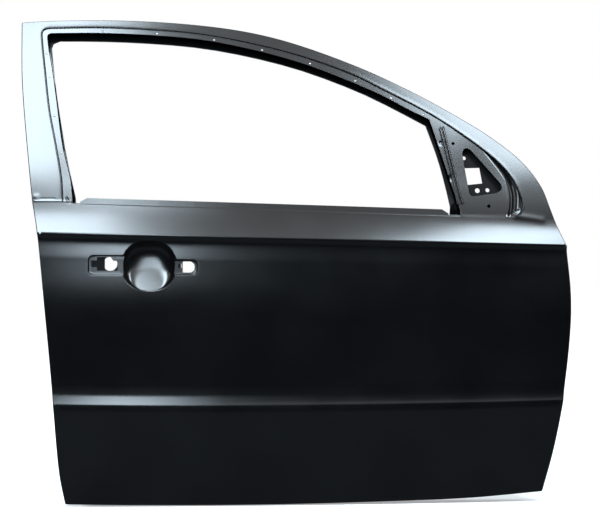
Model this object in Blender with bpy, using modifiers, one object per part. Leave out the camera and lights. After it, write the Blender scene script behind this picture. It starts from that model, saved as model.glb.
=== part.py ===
"""Shell of a front right car door: skin, inner panel, reinforcements, side beam and glass guides.

+X points forward, +Y into the car and +Z up. The origin lies on the face that the upper hinge bolts to.
"""
import math

import bmesh
import bpy
from mathutils import Matrix, Vector
from mathutils.geometry import delaunay_2d_cdt

# Overall size of the door
DOOR_LENGTH = 1.182
DOOR_HEIGHT = 1.046
SKIN_REACH = 0.082

# Where the upper hinge face stands, from the rear end and from the sill
HINGE_X_SHARE = 0.95262
HINGE_Z_SHARE = 0.46367
REAR_REACH = HINGE_X_SHARE * DOOR_LENGTH
SILL_DROP = HINGE_Z_SHARE * DOOR_HEIGHT

# Sheet metal and clearances
SKIN_SHEET = 0.0008
INNER_SHEET = 0.0007
HEAVY_SHEET = 0.0016
PLATE_SHEET = 0.0040
SEAT_GAP = 0.0004
HEM_GAP = 0.0006
FORM_GAP = 0.0006
CUT_OVERRUN = 0.004
WELD = 0.00001
MITRE_LIMIT = 0.5
FOLD_DEGREES = 35
BORE_STEPS = 12

# Shape of the skin seen along the car: how far it curves in and where its creases run
PLAN_CROWN = 0.030
PLAN_APEX_SHARE = 0.41
PLAN_SPAN_SHARE = 0.58
TUCK_IN = 0.040
FLUTE_DEPTH = 0.010
CREASE_INSET = 0.003
BELT_INSET = 0.028
FRAME_INSET = 0.100
FRAME_BOW = 0.053
FRAME_REACH = 0.400
CREASE_SLOPE_SHARE = 0.55
LOWER_CREASE_SHARE = 0.20794
BELT_CREASE_SHARE = 0.54924
BELT_CREASE_FALL_SHARE = 0.02533
BELT_SHARE = 0.61424
BELT_FALL_SHARE = 0.03298
LOWER_CREASE_HEIGHT = LOWER_CREASE_SHARE * DOOR_HEIGHT
LOWER_CREASE_SAG = 0.0055
BELT_CREASE_HEIGHT = BELT_CREASE_SHARE * DOOR_HEIGHT
BELT_CREASE_FALL = BELT_CREASE_FALL_SHARE * DOOR_HEIGHT
BELT_HEIGHT = BELT_SHARE * DOOR_HEIGHT
BELT_FALL = BELT_FALL_SHARE * DOOR_HEIGHT

# Share of the height between two creases against share of the depth there
LOW_SECTION_SHARES = ((0.0, 1.0), (0.5, 0.43), (1.0, 0.075))
MID_SECTION_SHARES = (
    (0.0, 0.30), (0.034, 0.76), (0.068, 1.0), (0.136, 1.1), (0.56, 0.0), (0.86, 0.62), (0.955, 1.0),
    (0.983, 0.86), (1.0, 0.30))
LOW_ROW_SHARES = (0.27, 0.53, 0.78)
MID_ROW_SHARES = (0.0, 0.034, 0.068, 0.136, 0.33, 0.52, 0.69, 0.86, 0.955, 0.983)
SHOULDER_ROW_SHARES = (0.0, 0.30, 0.64, 1.0)
ROW_DIVISIONS = 13
ROW_ABOVE_CUP_SHARE = 0.9

# Outlines as shares of the door's length and height, from the rear end of the sill upwards
REAR_EDGE_SHARES = (
    (0.088, 0.003), (0.078, 0.067), (0.068, 0.207), (0.055, 0.38), (0.040, 0.549), (0.030, 0.613))
PILLAR_SHARES = ((0.030, 0.613), (0.019, 0.719), (0.009, 0.819), (0.004, 0.884), (0.0, 0.994))
ROOF_SHARES = (
    (0.0, 0.994), (0.056, 0.998), (0.172, 1.0), (0.293, 0.994), (0.405, 0.979), (0.5, 0.953), (0.621, 0.902),
    (0.717, 0.85), (0.796, 0.8), (0.863, 0.752), (0.919, 0.7), (0.952, 0.649), (0.968, 0.599), (0.973, 0.581))
FRONT_EDGE_SHARES = (
    (0.952, 0.019), (0.970, 0.106), (0.986, 0.207), (0.996, 0.304), (1.0, 0.416), (0.993, 0.525))
FRONT_SHOULDER_SHARES = ((0.993, 0.525), (0.984, 0.550), (0.973, 0.581))
SILL_SHARES = ((0.952, 0.019), (0.816, 0.008), (0.689, 0.004), (0.445, 0.0), (0.203, 0.001), (0.088, 0.003))
GROOVE_PILLAR_SHARES = (
    (0.083, 0.617), (0.080, 0.661), (0.068, 0.736), (0.056, 0.803), (0.045, 0.894), (0.039, 0.936))
GROOVE_ROOF_SHARES = (
    (0.055, 0.980), (0.145, 0.982), (0.237, 0.978), (0.329, 0.969), (0.421, 0.950), (0.514, 0.923),
    (0.606, 0.886), (0.661, 0.855), (0.751, 0.801), (0.805, 0.762), (0.857, 0.718), (0.886, 0.686),
    (0.904, 0.656), (0.915, 0.624))
GROOVE_CORNER_SHARES = ((0.039, 0.959), (0.044, 0.973))
GROOVE_FOOT_SHARES = ((0.917, 0.603), (0.912, 0.592))
WINDOW_PILLAR_SHARES = (
    (0.100, 0.625), (0.096, 0.661), (0.081, 0.729), (0.067, 0.833), (0.058, 0.895), (0.051, 0.933))
WINDOW_CORNER_SHARES = ((0.049, 0.960), (0.055, 0.969))
WINDOW_ROOF_SHARES = (
    (0.055, 0.969), (0.145, 0.970), (0.237, 0.966), (0.329, 0.957), (0.421, 0.937), (0.514, 0.908),
    (0.587, 0.877), (0.660, 0.841), (0.715, 0.808), (0.750, 0.789))
WINDOW_BAR_SHARES = ((0.750, 0.789), (0.799, 0.600))
LIP_PILLAR_SHARES = (
    (0.105, 0.622), (0.095, 0.671), (0.085, 0.721), (0.077, 0.772), (0.069, 0.822), (0.062, 0.874))
LIP_CORNER_SHARES = ((0.055, 0.940), (0.058, 0.950))
LIP_ROOF_SHARES = (
    (0.070, 0.956), (0.144, 0.956), (0.237, 0.952), (0.329, 0.943), (0.422, 0.924), (0.515, 0.896),
    (0.607, 0.857), (0.662, 0.828), (0.746, 0.777))
LIP_BAR_SHARES = ((0.746, 0.777), (0.767, 0.700), (0.785, 0.606))
LEDGE_SHARES = (
    (0.838, 0.736), (0.854, 0.710), (0.871, 0.684), (0.884, 0.660), (0.891, 0.630), (0.890, 0.606))
REBATE_OUTSIDE_SHARES = ((0.885, 0.580), (0.945, 0.580), (0.960, 0.680), (0.860, 0.780))
MIRROR_HOLE_SHARES = (
    (0.808, 0.718), (0.811, 0.726), (0.817, 0.729), (0.825, 0.724), (0.875, 0.657), (0.879, 0.650),
    (0.878, 0.641), (0.869, 0.634), (0.823, 0.627), (0.818, 0.632))
MIRROR_WINDOW_SHARES = ((0.809, 0.687), (0.841, 0.688), (0.845, 0.655), (0.812, 0.651))
MIRROR_BOLT_SHARES = ((0.813, 0.708), (0.835, 0.640), (0.854, 0.641))
SAIL_CLIP_SHARES = ((0.792, 0.738), (0.853, 0.607))
SAIL_GRID_SHARES = ((0.800, 0.600), (0.860, 0.760))

# Frame of the window
RECESS_DEPTH = 0.009
RECESS_WALL = 0.004
REBATE_DEPTH = 0.004
REBATE_WALL = 0.004
WINDOW_FLANGE = 0.018
LIP_FLANGE = 0.004
BELT_CORNER_REAR_SHARE = 0.101
BELT_CORNER_FRONT_SHARE = 0.799
GROOVE_BASE_REAR_SHARE = 0.083
GROOVE_BASE_FRONT_SHARE = 0.900
SAIL_CLIP_BORE = 0.0075
FRAME_DEPTH = 0.032

# Hem round the door's edge
HEM_LINE = 0.014
HEM_LINE_FRAME = 0.0112
HEM_WIDTH = 0.011
HEM_WIDTH_FRAME = 0.009
FLANGE_EDGE = 0.0022
FLANGE_WIDTH = 0.0135
FLANGE_WIDTH_FRAME = 0.0110

# Handle cup with a slot each side of it
BOWL_SETBACK = 0.281
BOWL_DROP = 0.0612
BOWL_HALF_LENGTH = 0.0570
BOWL_HALF_HEIGHT = 0.0525
BOWL_DEPTH = 0.030
BOWL_SQUARENESS = 2.25
BOWL_FLOOR_POWER = 2.4
BOWL_SIDE_POWER = 0.8
BOWL_STEPS = 26
BOWL_RING_SHARES = (0.90, 0.72, 0.48, 0.22)
REAR_SLOT_REACH = 0.128
REAR_SLOT_HEIGHT = 0.0420
FRONT_SLOT_REACH = 0.102
FRONT_SLOT_HEIGHT = 0.0330
FRONT_SLOT_DROP = 0.003
SLOT_DEPTH = 0.0055
SLOT_WALL = 0.0030
SLOT_CORNER = 0.011
REAR_CUTOUT_SHARES = (
    (-0.945, -0.10), (-0.945, 0.22), (-0.85, 0.22), (-0.85, 0.40), (-0.515, 0.40), (-0.515, -0.28),
    (-0.85, -0.28), (-0.85, -0.10))
FRONT_CUTOUT_SHARES = (
    (0.69, -0.34), (0.69, 0.36), (0.86, 0.36), (0.925, 0.20), (0.935, 0.0), (0.925, -0.20), (0.86, -0.34))
FRONT_PILOT_SHARES = ((0.595, -0.05), (0.595, 0.22), (0.665, 0.22), (0.665, -0.05))

# Inner panel
BODY_DEPTH = 0.132
INNER_FACE_Y = BODY_DEPTH - SKIN_REACH
SHELF_REAR = 0.026
SHELF_FRONT = 0.020
FRAME_RIM_SHARE = 0.0153
LATCH_INSET = 0.0351
LATCH_LEAN_SHARE = 0.08
SHELF_STEP = 0.008
SHELF_STEP_FRAME = 0.004
SHELF_ROUND = 0.003
SHELF_ROUND_FRAME = 0.0015
ROUND_LIMIT_SHARE = 0.9
INNER_ROUND = 0.006
BLEND_BELOW_SHARE = 0.0717
BLEND_BELOW = BLEND_BELOW_SHARE * DOOR_HEIGHT
BLEND_ABOVE = 0.035
BLEND_WIDTH = 0.070
PILLAR_BLEND_SHARE = 0.118
SAIL_BLEND_SHARE = 0.785
BLEND_GRID_SHARES = ((0.075, 0.190), (0.700, 0.955))
BLEND_COLUMNS = (6, 11)
INNER_BELT_DROP = 0.005
POCKET_DEPTH = 0.012
POCKET_WALL = 0.014
POCKET_STEP = 0.070
POCKET_CLEARANCE = 0.005
POCKET_TOP_SHARES = (0.138, 0.700)
POCKET_SHARES = (
    (0.860, 0.500), (0.895, 0.420), (0.895, 0.110), (0.860, 0.070), (0.175, 0.070), (0.148, 0.130))
SPEAKER_SHARES = (0.765, 0.20554)
SPEAKER_BORE = 0.140
SPEAKER_SEAT = 0.180
SPEAKER_RISE = 0.010
SPEAKER_STEPS = 24
SERVICE_HOLE_SHARES = (
    ((0.156, 0.405), (0.156, 0.535), (0.335, 0.530), (0.335, 0.440), (0.300, 0.405)),
    ((0.385, 0.200), (0.385, 0.500), (0.640, 0.490), (0.640, 0.330), (0.590, 0.200)),
    ((0.182, 0.120), (0.172, 0.330), (0.320, 0.330), (0.320, 0.160), (0.290, 0.120)),
    ((0.720, 0.390), (0.720, 0.480), (0.830, 0.475), (0.830, 0.390)))
SERVICE_CORNER = 0.022
CLIP_BORE = 0.009
CLIP_STEPS = 8
TRIM_CLIP_SHARES = (
    (0.135, 0.080), (0.350, 0.045), (0.560, 0.045), (0.780, 0.045), (0.915, 0.200), (0.915, 0.350),
    (0.118, 0.360), (0.360, 0.130), (0.360, 0.400), (0.660, 0.420))

# Reinforcements
BELT_STRIP_RISE = 0.0115
BELT_STRIP_DROP = 0.052
BELT_STRIP_REAR_SHARE = 0.115
BELT_STRIP_FRONT_SHARE = 0.777
BELT_STRIP_CHAMFER = 0.014
BELT_STRIP_STEPS = 10
BELT_HAT = 0.010
BELT_BAR_HEIGHT = 0.044
BELT_BAR_DEPTH = 0.014
BELT_BAR_RIM_SHARE = 0.20
BELT_BAR_SIDE_SHARE = 0.28
BELT_BAR_REAR_SHARE = 0.210
BELT_BAR_FRONT_SHARE = 0.698
MIRROR_PLATE_SHARES = (
    (0.797, 0.735), (0.822, 0.745), (0.842, 0.722), (0.866, 0.685), (0.879, 0.662), (0.884, 0.640),
    (0.880, 0.618), (0.812, 0.612), (0.803, 0.640))
MIRROR_DISH = 0.010
MIRROR_DISH_WALL = 0.003
MIRROR_BOLT_BORES = (0.0090, 0.0112, 0.0095)
HANDLE_PLATE_SETBACK = 0.0408
HANDLE_PLATE_FRONT = 0.125
HANDLE_PLATE_HALF_HEIGHT = 0.066
HANDLE_PLATE_CORNER = 0.020
HANDLE_PLATE_HOLE_SHARE = 1.06
HANDLE_FOOT_SHARES = ((0.655, -0.8), (0.655, 0.8), (0.96, 0.8), (0.96, -0.8))
HANDLE_LOCK_BORE = 0.030
HANDLE_LOCK_GAP = 0.0056
HANDLE_LOCK_RISE = 0.004
HINGE_PITCH_SHARE = 0.29446
HINGE_PITCH = HINGE_PITCH_SHARE * DOOR_HEIGHT
HINGE_PAD_HEIGHT = 0.084
HINGE_PAD_FOOT = 0.020
HINGE_PAD_LEG = 0.050
HINGE_BOLT_PITCH = 0.034
HINGE_BOLT_BORE = 0.010
TAPPING_HEIGHT = 0.062
TAPPING_DEPTH = 0.028
CHECK_LINK_SHARE = 0.5357
CHECK_LINK_DROP = CHECK_LINK_SHARE * HINGE_PITCH
CHECK_PLATE_HEIGHT = 0.080
CHECK_PLATE_FOOT = 0.025
CHECK_PLATE_CLEARANCE = 0.018
CHECK_SLOT = 0.016
CHECK_SLOT_HEIGHT = 0.024
CHECK_BOLT_PITCH = 0.044
LATCH_Z_SHARE = 0.38241
LATCH_PLATE_HEIGHT = 0.110
LATCH_PLATE_DEPTH = 0.052
LATCH_MOUTH_HEIGHT = 0.022
LATCH_MOUTH_DEPTH = 0.030
LATCH_BOLT_BORE = 0.008
LATCH_BOLT_PITCH = 0.060

# Side impact beam
BEAM_DIAMETER = 0.030
BEAM_WALL = 0.0022
BEAM_REAR_Z_SHARE = 0.25048
BEAM_STANDOFF = 0.030
BEAM_END_GAP = 0.010
BEAM_STEPS = 14
BRACKET_TOP_GAP = 0.007
BRACKET_FOOT_GAP = 0.004
BRACKET_TOP = -HINGE_PAD_HEIGHT / 2 - BRACKET_TOP_GAP
BRACKET_FOOT = CHECK_PLATE_HEIGHT / 2 - CHECK_LINK_DROP + BRACKET_FOOT_GAP
BRACKET_HEIGHT = BRACKET_TOP - BRACKET_FOOT
BRACKET_TONGUE = 0.085
BRACKET_LEG = 0.034
PAD_DIAMETER = 0.034
PAD_STATION_SHARES = (0.25, 0.50, 0.75)

# Glass guides
GUIDE_WIDTH = 0.016
GUIDE_DEPTH = 0.013
REAR_GUIDE_SETBACKS = (0.0599, 0.0497)
REAR_GUIDE_Z_SHARES = (0.570, 0.250)
FRONT_GUIDE_SHARES = ((0.795, 0.520), (0.812, 0.300))
GUIDE_PLANE = 0.050
GUIDE_FOOT_SHIFT = 0.004
GUIDE_BRACKET_SHARE = 0.08
RAIL_TOP_SHARES = (0.7715, 0.774)
RAIL_FOOT_SHARES = (0.8010, 0.612)
RAIL_WIDTH = 0.014
RAIL_HEIGHT = 0.004
RAIL_STATIONS = 7
RAIL_SECTION_SHARES = (
    (-1.0, 0.0), (-0.72, 0.0), (-0.60, 1.0), (-0.24, 1.0), (-0.12, 0.25), (0.12, 0.25), (0.24, 1.0),
    (0.60, 1.0), (0.72, 0.0), (1.0, 0.0))

# Finishes as colour, roughness and metallic value
PRIMER = ((0.014, 0.015, 0.017, 1.0), 0.32, 0.0)
BEAM_PRIMER = ((0.020, 0.021, 0.023, 1.0), 0.42, 0.0)
PLATED_STEEL = ((0.46, 0.45, 0.41, 1.0), 0.38, 0.9)
MASTIC = ((0.030, 0.030, 0.032, 1.0), 0.80, 0.0)


def ramp(value):
    """Smooth step from 0 to 1."""
    value = min(max(value, 0.0), 1.0)
    return value * value * (3 - 2 * value)


def blend(first, second, share):
    return first + (second - first) * share


def knot_value(knots, place):
    """Value on the smooth curve through (place, value) knots."""
    last = len(knots) - 1
    place = min(max(place, knots[0][0]), knots[last][0])
    index = 0
    while index < last - 1 and place > knots[index + 1][0]:
        index += 1

    def slope(k):
        before = knots[max(k - 1, 0)]
        after = knots[min(k + 1, last)]
        return (after[1] - before[1]) / (after[0] - before[0])

    start, end = knots[index], knots[index + 1]
    span = end[0] - start[0]
    s = (place - start[0]) / span
    return (
        start[1] * (1 + 2 * s) * (1 - s) ** 2 + end[1] * s * s * (3 - 2 * s)
        + span * slope(index) * s * (1 - s) ** 2 + span * slope(index + 1) * s * s * (s - 1))


def place(shares):
    """Side-view place (x, z) of a point given by shares of the door's length and height."""
    return (shares[0] * DOOR_LENGTH - REAR_REACH, shares[1] * DOOR_HEIGHT - SILL_DROP)


def places(table):
    return [place(shares) for shares in table]


def smooth_line(points, count):
    """Evenly spaced points along the smooth curve through some points, both ends among them."""
    travel = [0.0]
    for start, end in zip(points, points[1:]):
        travel.append(travel[-1] + math.dist(start, end))
    along = [(length, point[0]) for length, point in zip(travel, points)]
    up = [(length, point[1]) for length, point in zip(travel, points)]
    steps = [travel[-1] * k / count for k in range(count + 1)]
    return [(knot_value(along, step), knot_value(up, step)) for step in steps]


def length_share(x):
    return (x + REAR_REACH) / DOOR_LENGTH


def lower_crease_z(x):
    bow = 2 * length_share(x) - 1
    return LOWER_CREASE_HEIGHT - SILL_DROP - LOWER_CREASE_SAG * (1 - bow * bow)


def belt_crease_z(x):
    return BELT_CREASE_HEIGHT - SILL_DROP - BELT_CREASE_FALL * length_share(x)


def belt_z(x):
    return BELT_HEIGHT - SILL_DROP - BELT_FALL * length_share(x)


def sill_z(x):
    knots = sorted(places(SILL_SHARES))
    return knot_value(knots, x)


def section_inset(x, z):
    """How far the skin lies inboard of its widest line because of its height."""
    belt = belt_z(x)
    if z >= belt:
        rise = (z - belt) / FRAME_REACH
        return BELT_INSET + FRAME_INSET * rise + FRAME_BOW * rise * rise
    crease = belt_crease_z(x)
    if z >= crease:
        span = belt - crease
        s = (z - crease) / span
        start_slope = CREASE_SLOPE_SHARE * span
        end_slope = FRAME_INSET / FRAME_REACH * span
        return (
            CREASE_INSET * (1 + 2 * s) * (1 - s) ** 2 + BELT_INSET * s * s * (3 - 2 * s)
            + start_slope * s * (1 - s) ** 2 + end_slope * s * s * (s - 1))
    lower = lower_crease_z(x)
    if z >= lower:
        return FLUTE_DEPTH * knot_value(MID_SECTION_SHARES, (z - lower) / (crease - lower))
    sill = -SILL_DROP
    return TUCK_IN * knot_value(LOW_SECTION_SHARES, (z - sill) / (lower - sill))


def skin_y(x, z):
    """Outer face of the door before its recesses."""
    bow = (length_share(x) - PLAN_APEX_SHARE) / PLAN_SPAN_SHARE
    return PLAN_CROWN * bow * bow + section_inset(x, z) - SKIN_REACH


def slope_factor(x, z):
    """Ratio of a distance along Y to the same distance square to the skin."""
    step = FORM_GAP
    here = skin_y(x, z)
    along = (skin_y(x + step, z) - here) / step
    above = (skin_y(x, z + step) - here) / step
    below = (here - skin_y(x, z - step)) / step
    return (math.hypot(1, along, above) + math.hypot(1, along, below)) / 2


def layer_y(x, z, distance):
    """Face at a distance behind the unrecessed skin."""
    return skin_y(x, z) + distance * slope_factor(x, z)


def is_inside(loop, x, z):
    inside = False
    for (ax, az), (bx, bz) in zip(loop, loop[1:] + loop[:1]):
        if (az > z) != (bz > z) and x < ax + (z - az) * (bx - ax) / (bz - az):
            inside = not inside
    return inside


def loop_distance(loop, x, z):
    """Distance from a point to the line of a closed loop."""
    nearest = DOOR_LENGTH
    for (ax, az), (bx, bz) in zip(loop, loop[1:] + loop[:1]):
        dx, dz = bx - ax, bz - az
        size = dx * dx + dz * dz
        s = min(max(((x - ax) * dx + (z - az) * dz) / size, 0.0), 1.0) if size else 0.0
        nearest = min(nearest, math.hypot(x - ax - s * dx, z - az - s * dz))
    return nearest


def inside_distance(loop, x, z):
    """Distance to a closed loop for a point inside it, and 0 outside."""
    return loop_distance(loop, x, z) if is_inside(loop, x, z) else 0.0


def corner_offset(before, point, after, distance):
    """Point moved to the right of the path before, point, after, with mitred corners."""
    first = Vector((point[0] - before[0], point[1] - before[1])).normalized()
    second = Vector((after[0] - point[0], after[1] - point[1])).normalized()
    normal_a = Vector((first.y, -first.x))
    normal_b = Vector((second.y, -second.x))
    middle = (normal_a + normal_b).normalized()
    reach = distance / max(middle.dot(normal_a), MITRE_LIMIT)
    return (point[0] + middle.x * reach, point[1] + middle.y * reach)


def offset_line(points, distance, closed):
    """Line moved to its right by a distance."""
    last = len(points) - 1
    moved = []
    for index, point in enumerate(points):
        before = points[index - 1] if index or closed else None
        after = points[(index + 1) % len(points)] if index < last or closed else None
        if before is None:
            before = (2 * point[0] - after[0], 2 * point[1] - after[1])
        if after is None:
            after = (2 * point[0] - before[0], 2 * point[1] - before[1])
        moved.append(corner_offset(before, point, after, distance))
    return moved


def circle(centre, radius, steps):
    turns = [2 * math.pi * k / steps for k in range(steps)]
    return [(centre[0] + radius * math.cos(turn), centre[1] + radius * math.sin(turn)) for turn in turns]


def rounded_polygon(corners, radius):
    """Polygon with each corner cut by a short arc of three points."""
    result = []
    for index, corner in enumerate(corners):
        centre = Vector(corner)
        back = Vector(corners[index - 1]) - centre
        ahead = Vector(corners[(index + 1) % len(corners)]) - centre
        reach = min(radius, back.length / 3, ahead.length / 3)
        start = centre + back.normalized() * reach
        end = centre + ahead.normalized() * reach
        middle = (start + end) / 4 + centre / 2
        result += [tuple(start), tuple(middle), tuple(end)]
    return result


def divided(points, longest):
    """Closed outline with its long sides cut into shorter ones."""
    result = []
    for start, end in zip(points, points[1:] + points[:1]):
        count = math.ceil(math.dist(start, end) / longest)
        shares = [step / count for step in range(count)]
        result += [(blend(start[0], end[0], share), blend(start[1], end[1], share)) for share in shares]
    return result


def edge_x(table, z):
    knots = sorted((point[1], point[0]) for point in places(table))
    return knot_value(knots, z)


def row_z(row, x):
    """Height at some x of a construction row of the skin, given as its zone and its share of that zone."""
    zone, share = row
    if zone == "low":
        return blend(sill_z(x), lower_crease_z(x), share)
    if zone == "mid":
        return blend(lower_crease_z(x), belt_crease_z(x), share)
    return blend(belt_crease_z(x), belt_z(x), share)


def row_end(row, side):
    """Point where a row meets the rear edge (side -1) or the front edge (side 1)."""
    x = REAR_REACH * (side - 1) / 2
    for _ in range(6):
        z = row_z(row, x)
        if side < 0:
            x = edge_x(REAR_EDGE_SHARES, z)
        elif row[0] == "shoulder":
            x = edge_x(FRONT_SHOULDER_SHARES, z)
        else:
            x = edge_x(FRONT_EDGE_SHARES, z)
    return (x, row_z(row, x))


ROWS = (
    [("low", share) for share in LOW_ROW_SHARES] + [("mid", share) for share in MID_ROW_SHARES]
    + [("shoulder", share) for share in SHOULDER_ROW_SHARES])


def door_outline():
    """Outline points with the row that ends at each, clockwise from the rear end of the sill."""
    points = [(place(REAR_EDGE_SHARES[0]), None, 0)]
    points += [(row_end(row, -1), row, -1) for row in ROWS]
    belt_end = points[-1][0]
    pillar = smooth_line([belt_end] + places(PILLAR_SHARES[1:]), 7)
    points += [(point, None, 0) for point in pillar[1:]]
    front_belt = row_end(ROWS[-1], 1)
    roof = smooth_line(places(ROOF_SHARES[:-1]) + [front_belt], 26)
    points += [(point, None, 0) for point in roof[1:-1]]
    points += [(row_end(row, 1), row, 1) for row in reversed(ROWS)]
    sill = smooth_line(places(SILL_SHARES), 13)
    points += [(point, None, 0) for point in sill[:-1]]
    return points


OUTLINE = door_outline()
EDGE = [point for point, row, side in OUTLINE]


def inset_point(index, distance):
    """Outline point moved into the door. Ends of rows move along their row."""
    point, row, side = OUTLINE[index]
    moved = corner_offset(EDGE[index - 1], point, EDGE[(index + 1) % len(EDGE)], distance)
    if row is None:
        return moved
    return (moved[0], row_z(row, moved[0]))


def frame_part(index):
    """0 on the body of the door and 1 on its window frame."""
    x, z = EDGE[index]
    return ramp((z - belt_z(x) + BLEND_BELOW / 2) / BLEND_BELOW)


def inset_loop(body_distance, frame_distance):
    distances = [blend(body_distance, frame_distance, frame_part(index)) for index in range(len(EDGE))]
    return [inset_point(index, distance) for index, distance in enumerate(distances)]


def belt_line(start_share, end_share, count):
    """Points along the belt from one share of the length to another."""
    line = []
    for step in range(count + 1):
        x = place((blend(start_share, end_share, step / count), 0.0))[0]
        line.append((x, belt_z(x)))
    return line


def window_loop():
    """Edge of the skin round the window, clockwise from the rear end of the belt."""
    rear = belt_line(BELT_CORNER_REAR_SHARE, BELT_CORNER_REAR_SHARE, 1)[0]
    front = belt_line(BELT_CORNER_FRONT_SHARE, BELT_CORNER_FRONT_SHARE, 1)[0]
    pillar = smooth_line(places(WINDOW_PILLAR_SHARES), 8)
    roof = smooth_line(places(WINDOW_ROOF_SHARES), 17)
    bar = smooth_line(places(WINDOW_BAR_SHARES), 5)
    sill = belt_line(BELT_CORNER_FRONT_SHARE, BELT_CORNER_REAR_SHARE, 12)
    return [rear] + pillar + places(WINDOW_CORNER_SHARES[:1]) + roof + bar[1:] + [front] + sill[1:-1]


def groove_line():
    """Outer edge of the step round the window frame, from its rear foot over the roof to its front foot."""
    rear = belt_line(GROOVE_BASE_REAR_SHARE, GROOVE_BASE_REAR_SHARE, 1)[0]
    front = belt_line(GROOVE_BASE_FRONT_SHARE, GROOVE_BASE_FRONT_SHARE, 1)[0]
    pillar = smooth_line([rear] + places(GROOVE_PILLAR_SHARES[1:]), 9)
    roof = smooth_line(places(GROOVE_ROOF_SHARES), 24)
    return pillar + places(GROOVE_CORNER_SHARES) + roof + places(GROOVE_FOOT_SHARES) + [front]


WINDOW = window_loop()
GROOVE = groove_line()
LEDGE = smooth_line(places(LEDGE_SHARES), 8)
REBATE = LEDGE + places(REBATE_OUTSIDE_SHARES)
BOWL_X = BOWL_SETBACK - REAR_REACH
BOWL = (BOWL_X, belt_crease_z(BOWL_X) - BOWL_DROP)


def bowl_point(angle, share):
    """Point on the cup's rim, or on a like ring inside it."""
    power = 2 / BOWL_SQUARENESS
    across, up = math.cos(angle), math.sin(angle)
    return (
        BOWL[0] + share * BOWL_HALF_LENGTH * math.copysign(abs(across) ** power, across),
        BOWL[1] + share * BOWL_HALF_HEIGHT * math.copysign(abs(up) ** power, up))


def bowl_share(x, z):
    """0 at the centre of the cup and 1 on its rim."""
    across = abs((x - BOWL[0]) / BOWL_HALF_LENGTH) ** BOWL_SQUARENESS
    up = abs((z - BOWL[1]) / BOWL_HALF_HEIGHT) ** BOWL_SQUARENESS
    return (across + up) ** (1 / BOWL_SQUARENESS)


def slot_sizes(side):
    """Reach from the cup's centre, half height and height of the centre line of a slot."""
    if side < 0:
        return REAR_SLOT_REACH, REAR_SLOT_HEIGHT / 2, BOWL[1] + FRONT_SLOT_DROP / 2
    return FRONT_SLOT_REACH, FRONT_SLOT_HEIGHT / 2, BOWL[1] - FRONT_SLOT_DROP


def slot_loop(side, inward):
    """Outline of a slot from the cup's centre, drawn in by a distance."""
    reach, half, middle = slot_sizes(side)
    reach -= inward
    half -= inward
    corner = max(SLOT_CORNER - inward, SLOT_WALL)
    points = [(BOWL[0], middle + half)]
    for step in range(4):
        angle = math.pi / 2 * step / 3
        points.append((
            BOWL[0] + side * (reach - corner + corner * math.sin(angle)),
            middle + half - corner + corner * math.cos(angle)))
    for step in range(4):
        angle = math.pi / 2 * step / 3
        points.append((
            BOWL[0] + side * (reach - corner + corner * math.cos(angle)),
            middle - half + corner - corner * math.sin(angle)))
    points.append((BOWL[0], middle - half))
    return points


SLOTS = {side: slot_loop(side, 0.0) for side in (-1, 1)}


def handle_depth(x, z):
    """Depth of the handle's cup and slots at a point."""
    share = bowl_share(x, z)
    depth = BOWL_DEPTH * (1 - share ** BOWL_FLOOR_POWER) ** BOWL_SIDE_POWER if share < 1 else 0.0
    for loop in SLOTS.values():
        depth = max(depth, SLOT_DEPTH * ramp(inside_distance(loop, x, z) / SLOT_WALL))
    return depth


def frame_recess(x, z):
    """Depth of the step inside the window frame and of the rebate ahead of the mirror plate."""
    depth = ramp(inside_distance(GROOVE, x, z) / RECESS_WALL)
    if not depth:
        return 0.0
    return depth * (RECESS_DEPTH + REBATE_DEPTH * ramp(inside_distance(REBATE, x, z) / REBATE_WALL))


def outer_face_y(x, z):
    """Outer face of the skin with its recesses."""
    if z < belt_crease_z(x):
        return skin_y(x, z) + handle_depth(x, z)
    if z > belt_z(x):
        return skin_y(x, z) + frame_recess(x, z)
    return skin_y(x, z)


class Layout:
    """Points and lines in the side view, filled with triangles that keep the lines as edges."""

    def __init__(self):
        self.points = []
        self.edges = []

    def scatter(self, points):
        self.points += [Vector(point) for point in points]

    def line(self, points, closed=False):
        start = len(self.points)
        self.scatter(points)
        self.edges += [(start + k, start + k + 1) for k in range(len(points) - 1)]
        if closed:
            self.edges.append((start + len(points) - 1, start))

    def fill(self, outer, holes, depth):
        """Mesh over the area inside the outer loop and outside the holes, its depth given by a function."""
        found = delaunay_2d_cdt(self.points, self.edges, [], 0, 2 * WELD)
        corners, faces = found[0], found[2]
        mesh = bmesh.new()
        vertices = [mesh.verts.new((corner.x, depth(corner.x, corner.y), corner.y)) for corner in corners]
        for face in faces:
            x = sum(corners[k].x for k in face) / len(face)
            z = sum(corners[k].y for k in face) / len(face)
            if is_inside(outer, x, z) and not any(is_inside(hole, x, z) for hole in holes):
                mesh.faces.new([vertices[k] for k in face])
        loose = [vertex for vertex in mesh.verts if not vertex.link_faces]
        bmesh.ops.delete(mesh, geom=loose, context="VERTS")
        return mesh


def add_strips(mesh, loops, closed=True):
    """Join neighbouring loops of points (x, y, z) by strips of quads."""
    rings = [[mesh.verts.new(point) for point in loop] for loop in loops]
    count = len(rings[0])
    for first, second in zip(rings, rings[1:]):
        for k in range(count if closed else count - 1):
            after = (k + 1) % count
            mesh.faces.new((first[k], first[after], second[after], second[k]))


def weld_and_face(mesh, outward):
    """Weld touching points and turn the faces so that the widest run faces the way given."""
    bmesh.ops.remove_doubles(mesh, verts=mesh.verts, dist=WELD)
    bmesh.ops.recalc_face_normals(mesh, faces=mesh.faces)
    facing = sum(face.normal.dot(Vector(outward)) * face.calc_area() for face in mesh.faces)
    if facing < 0:
        bmesh.ops.reverse_faces(mesh, faces=mesh.faces)


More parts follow.
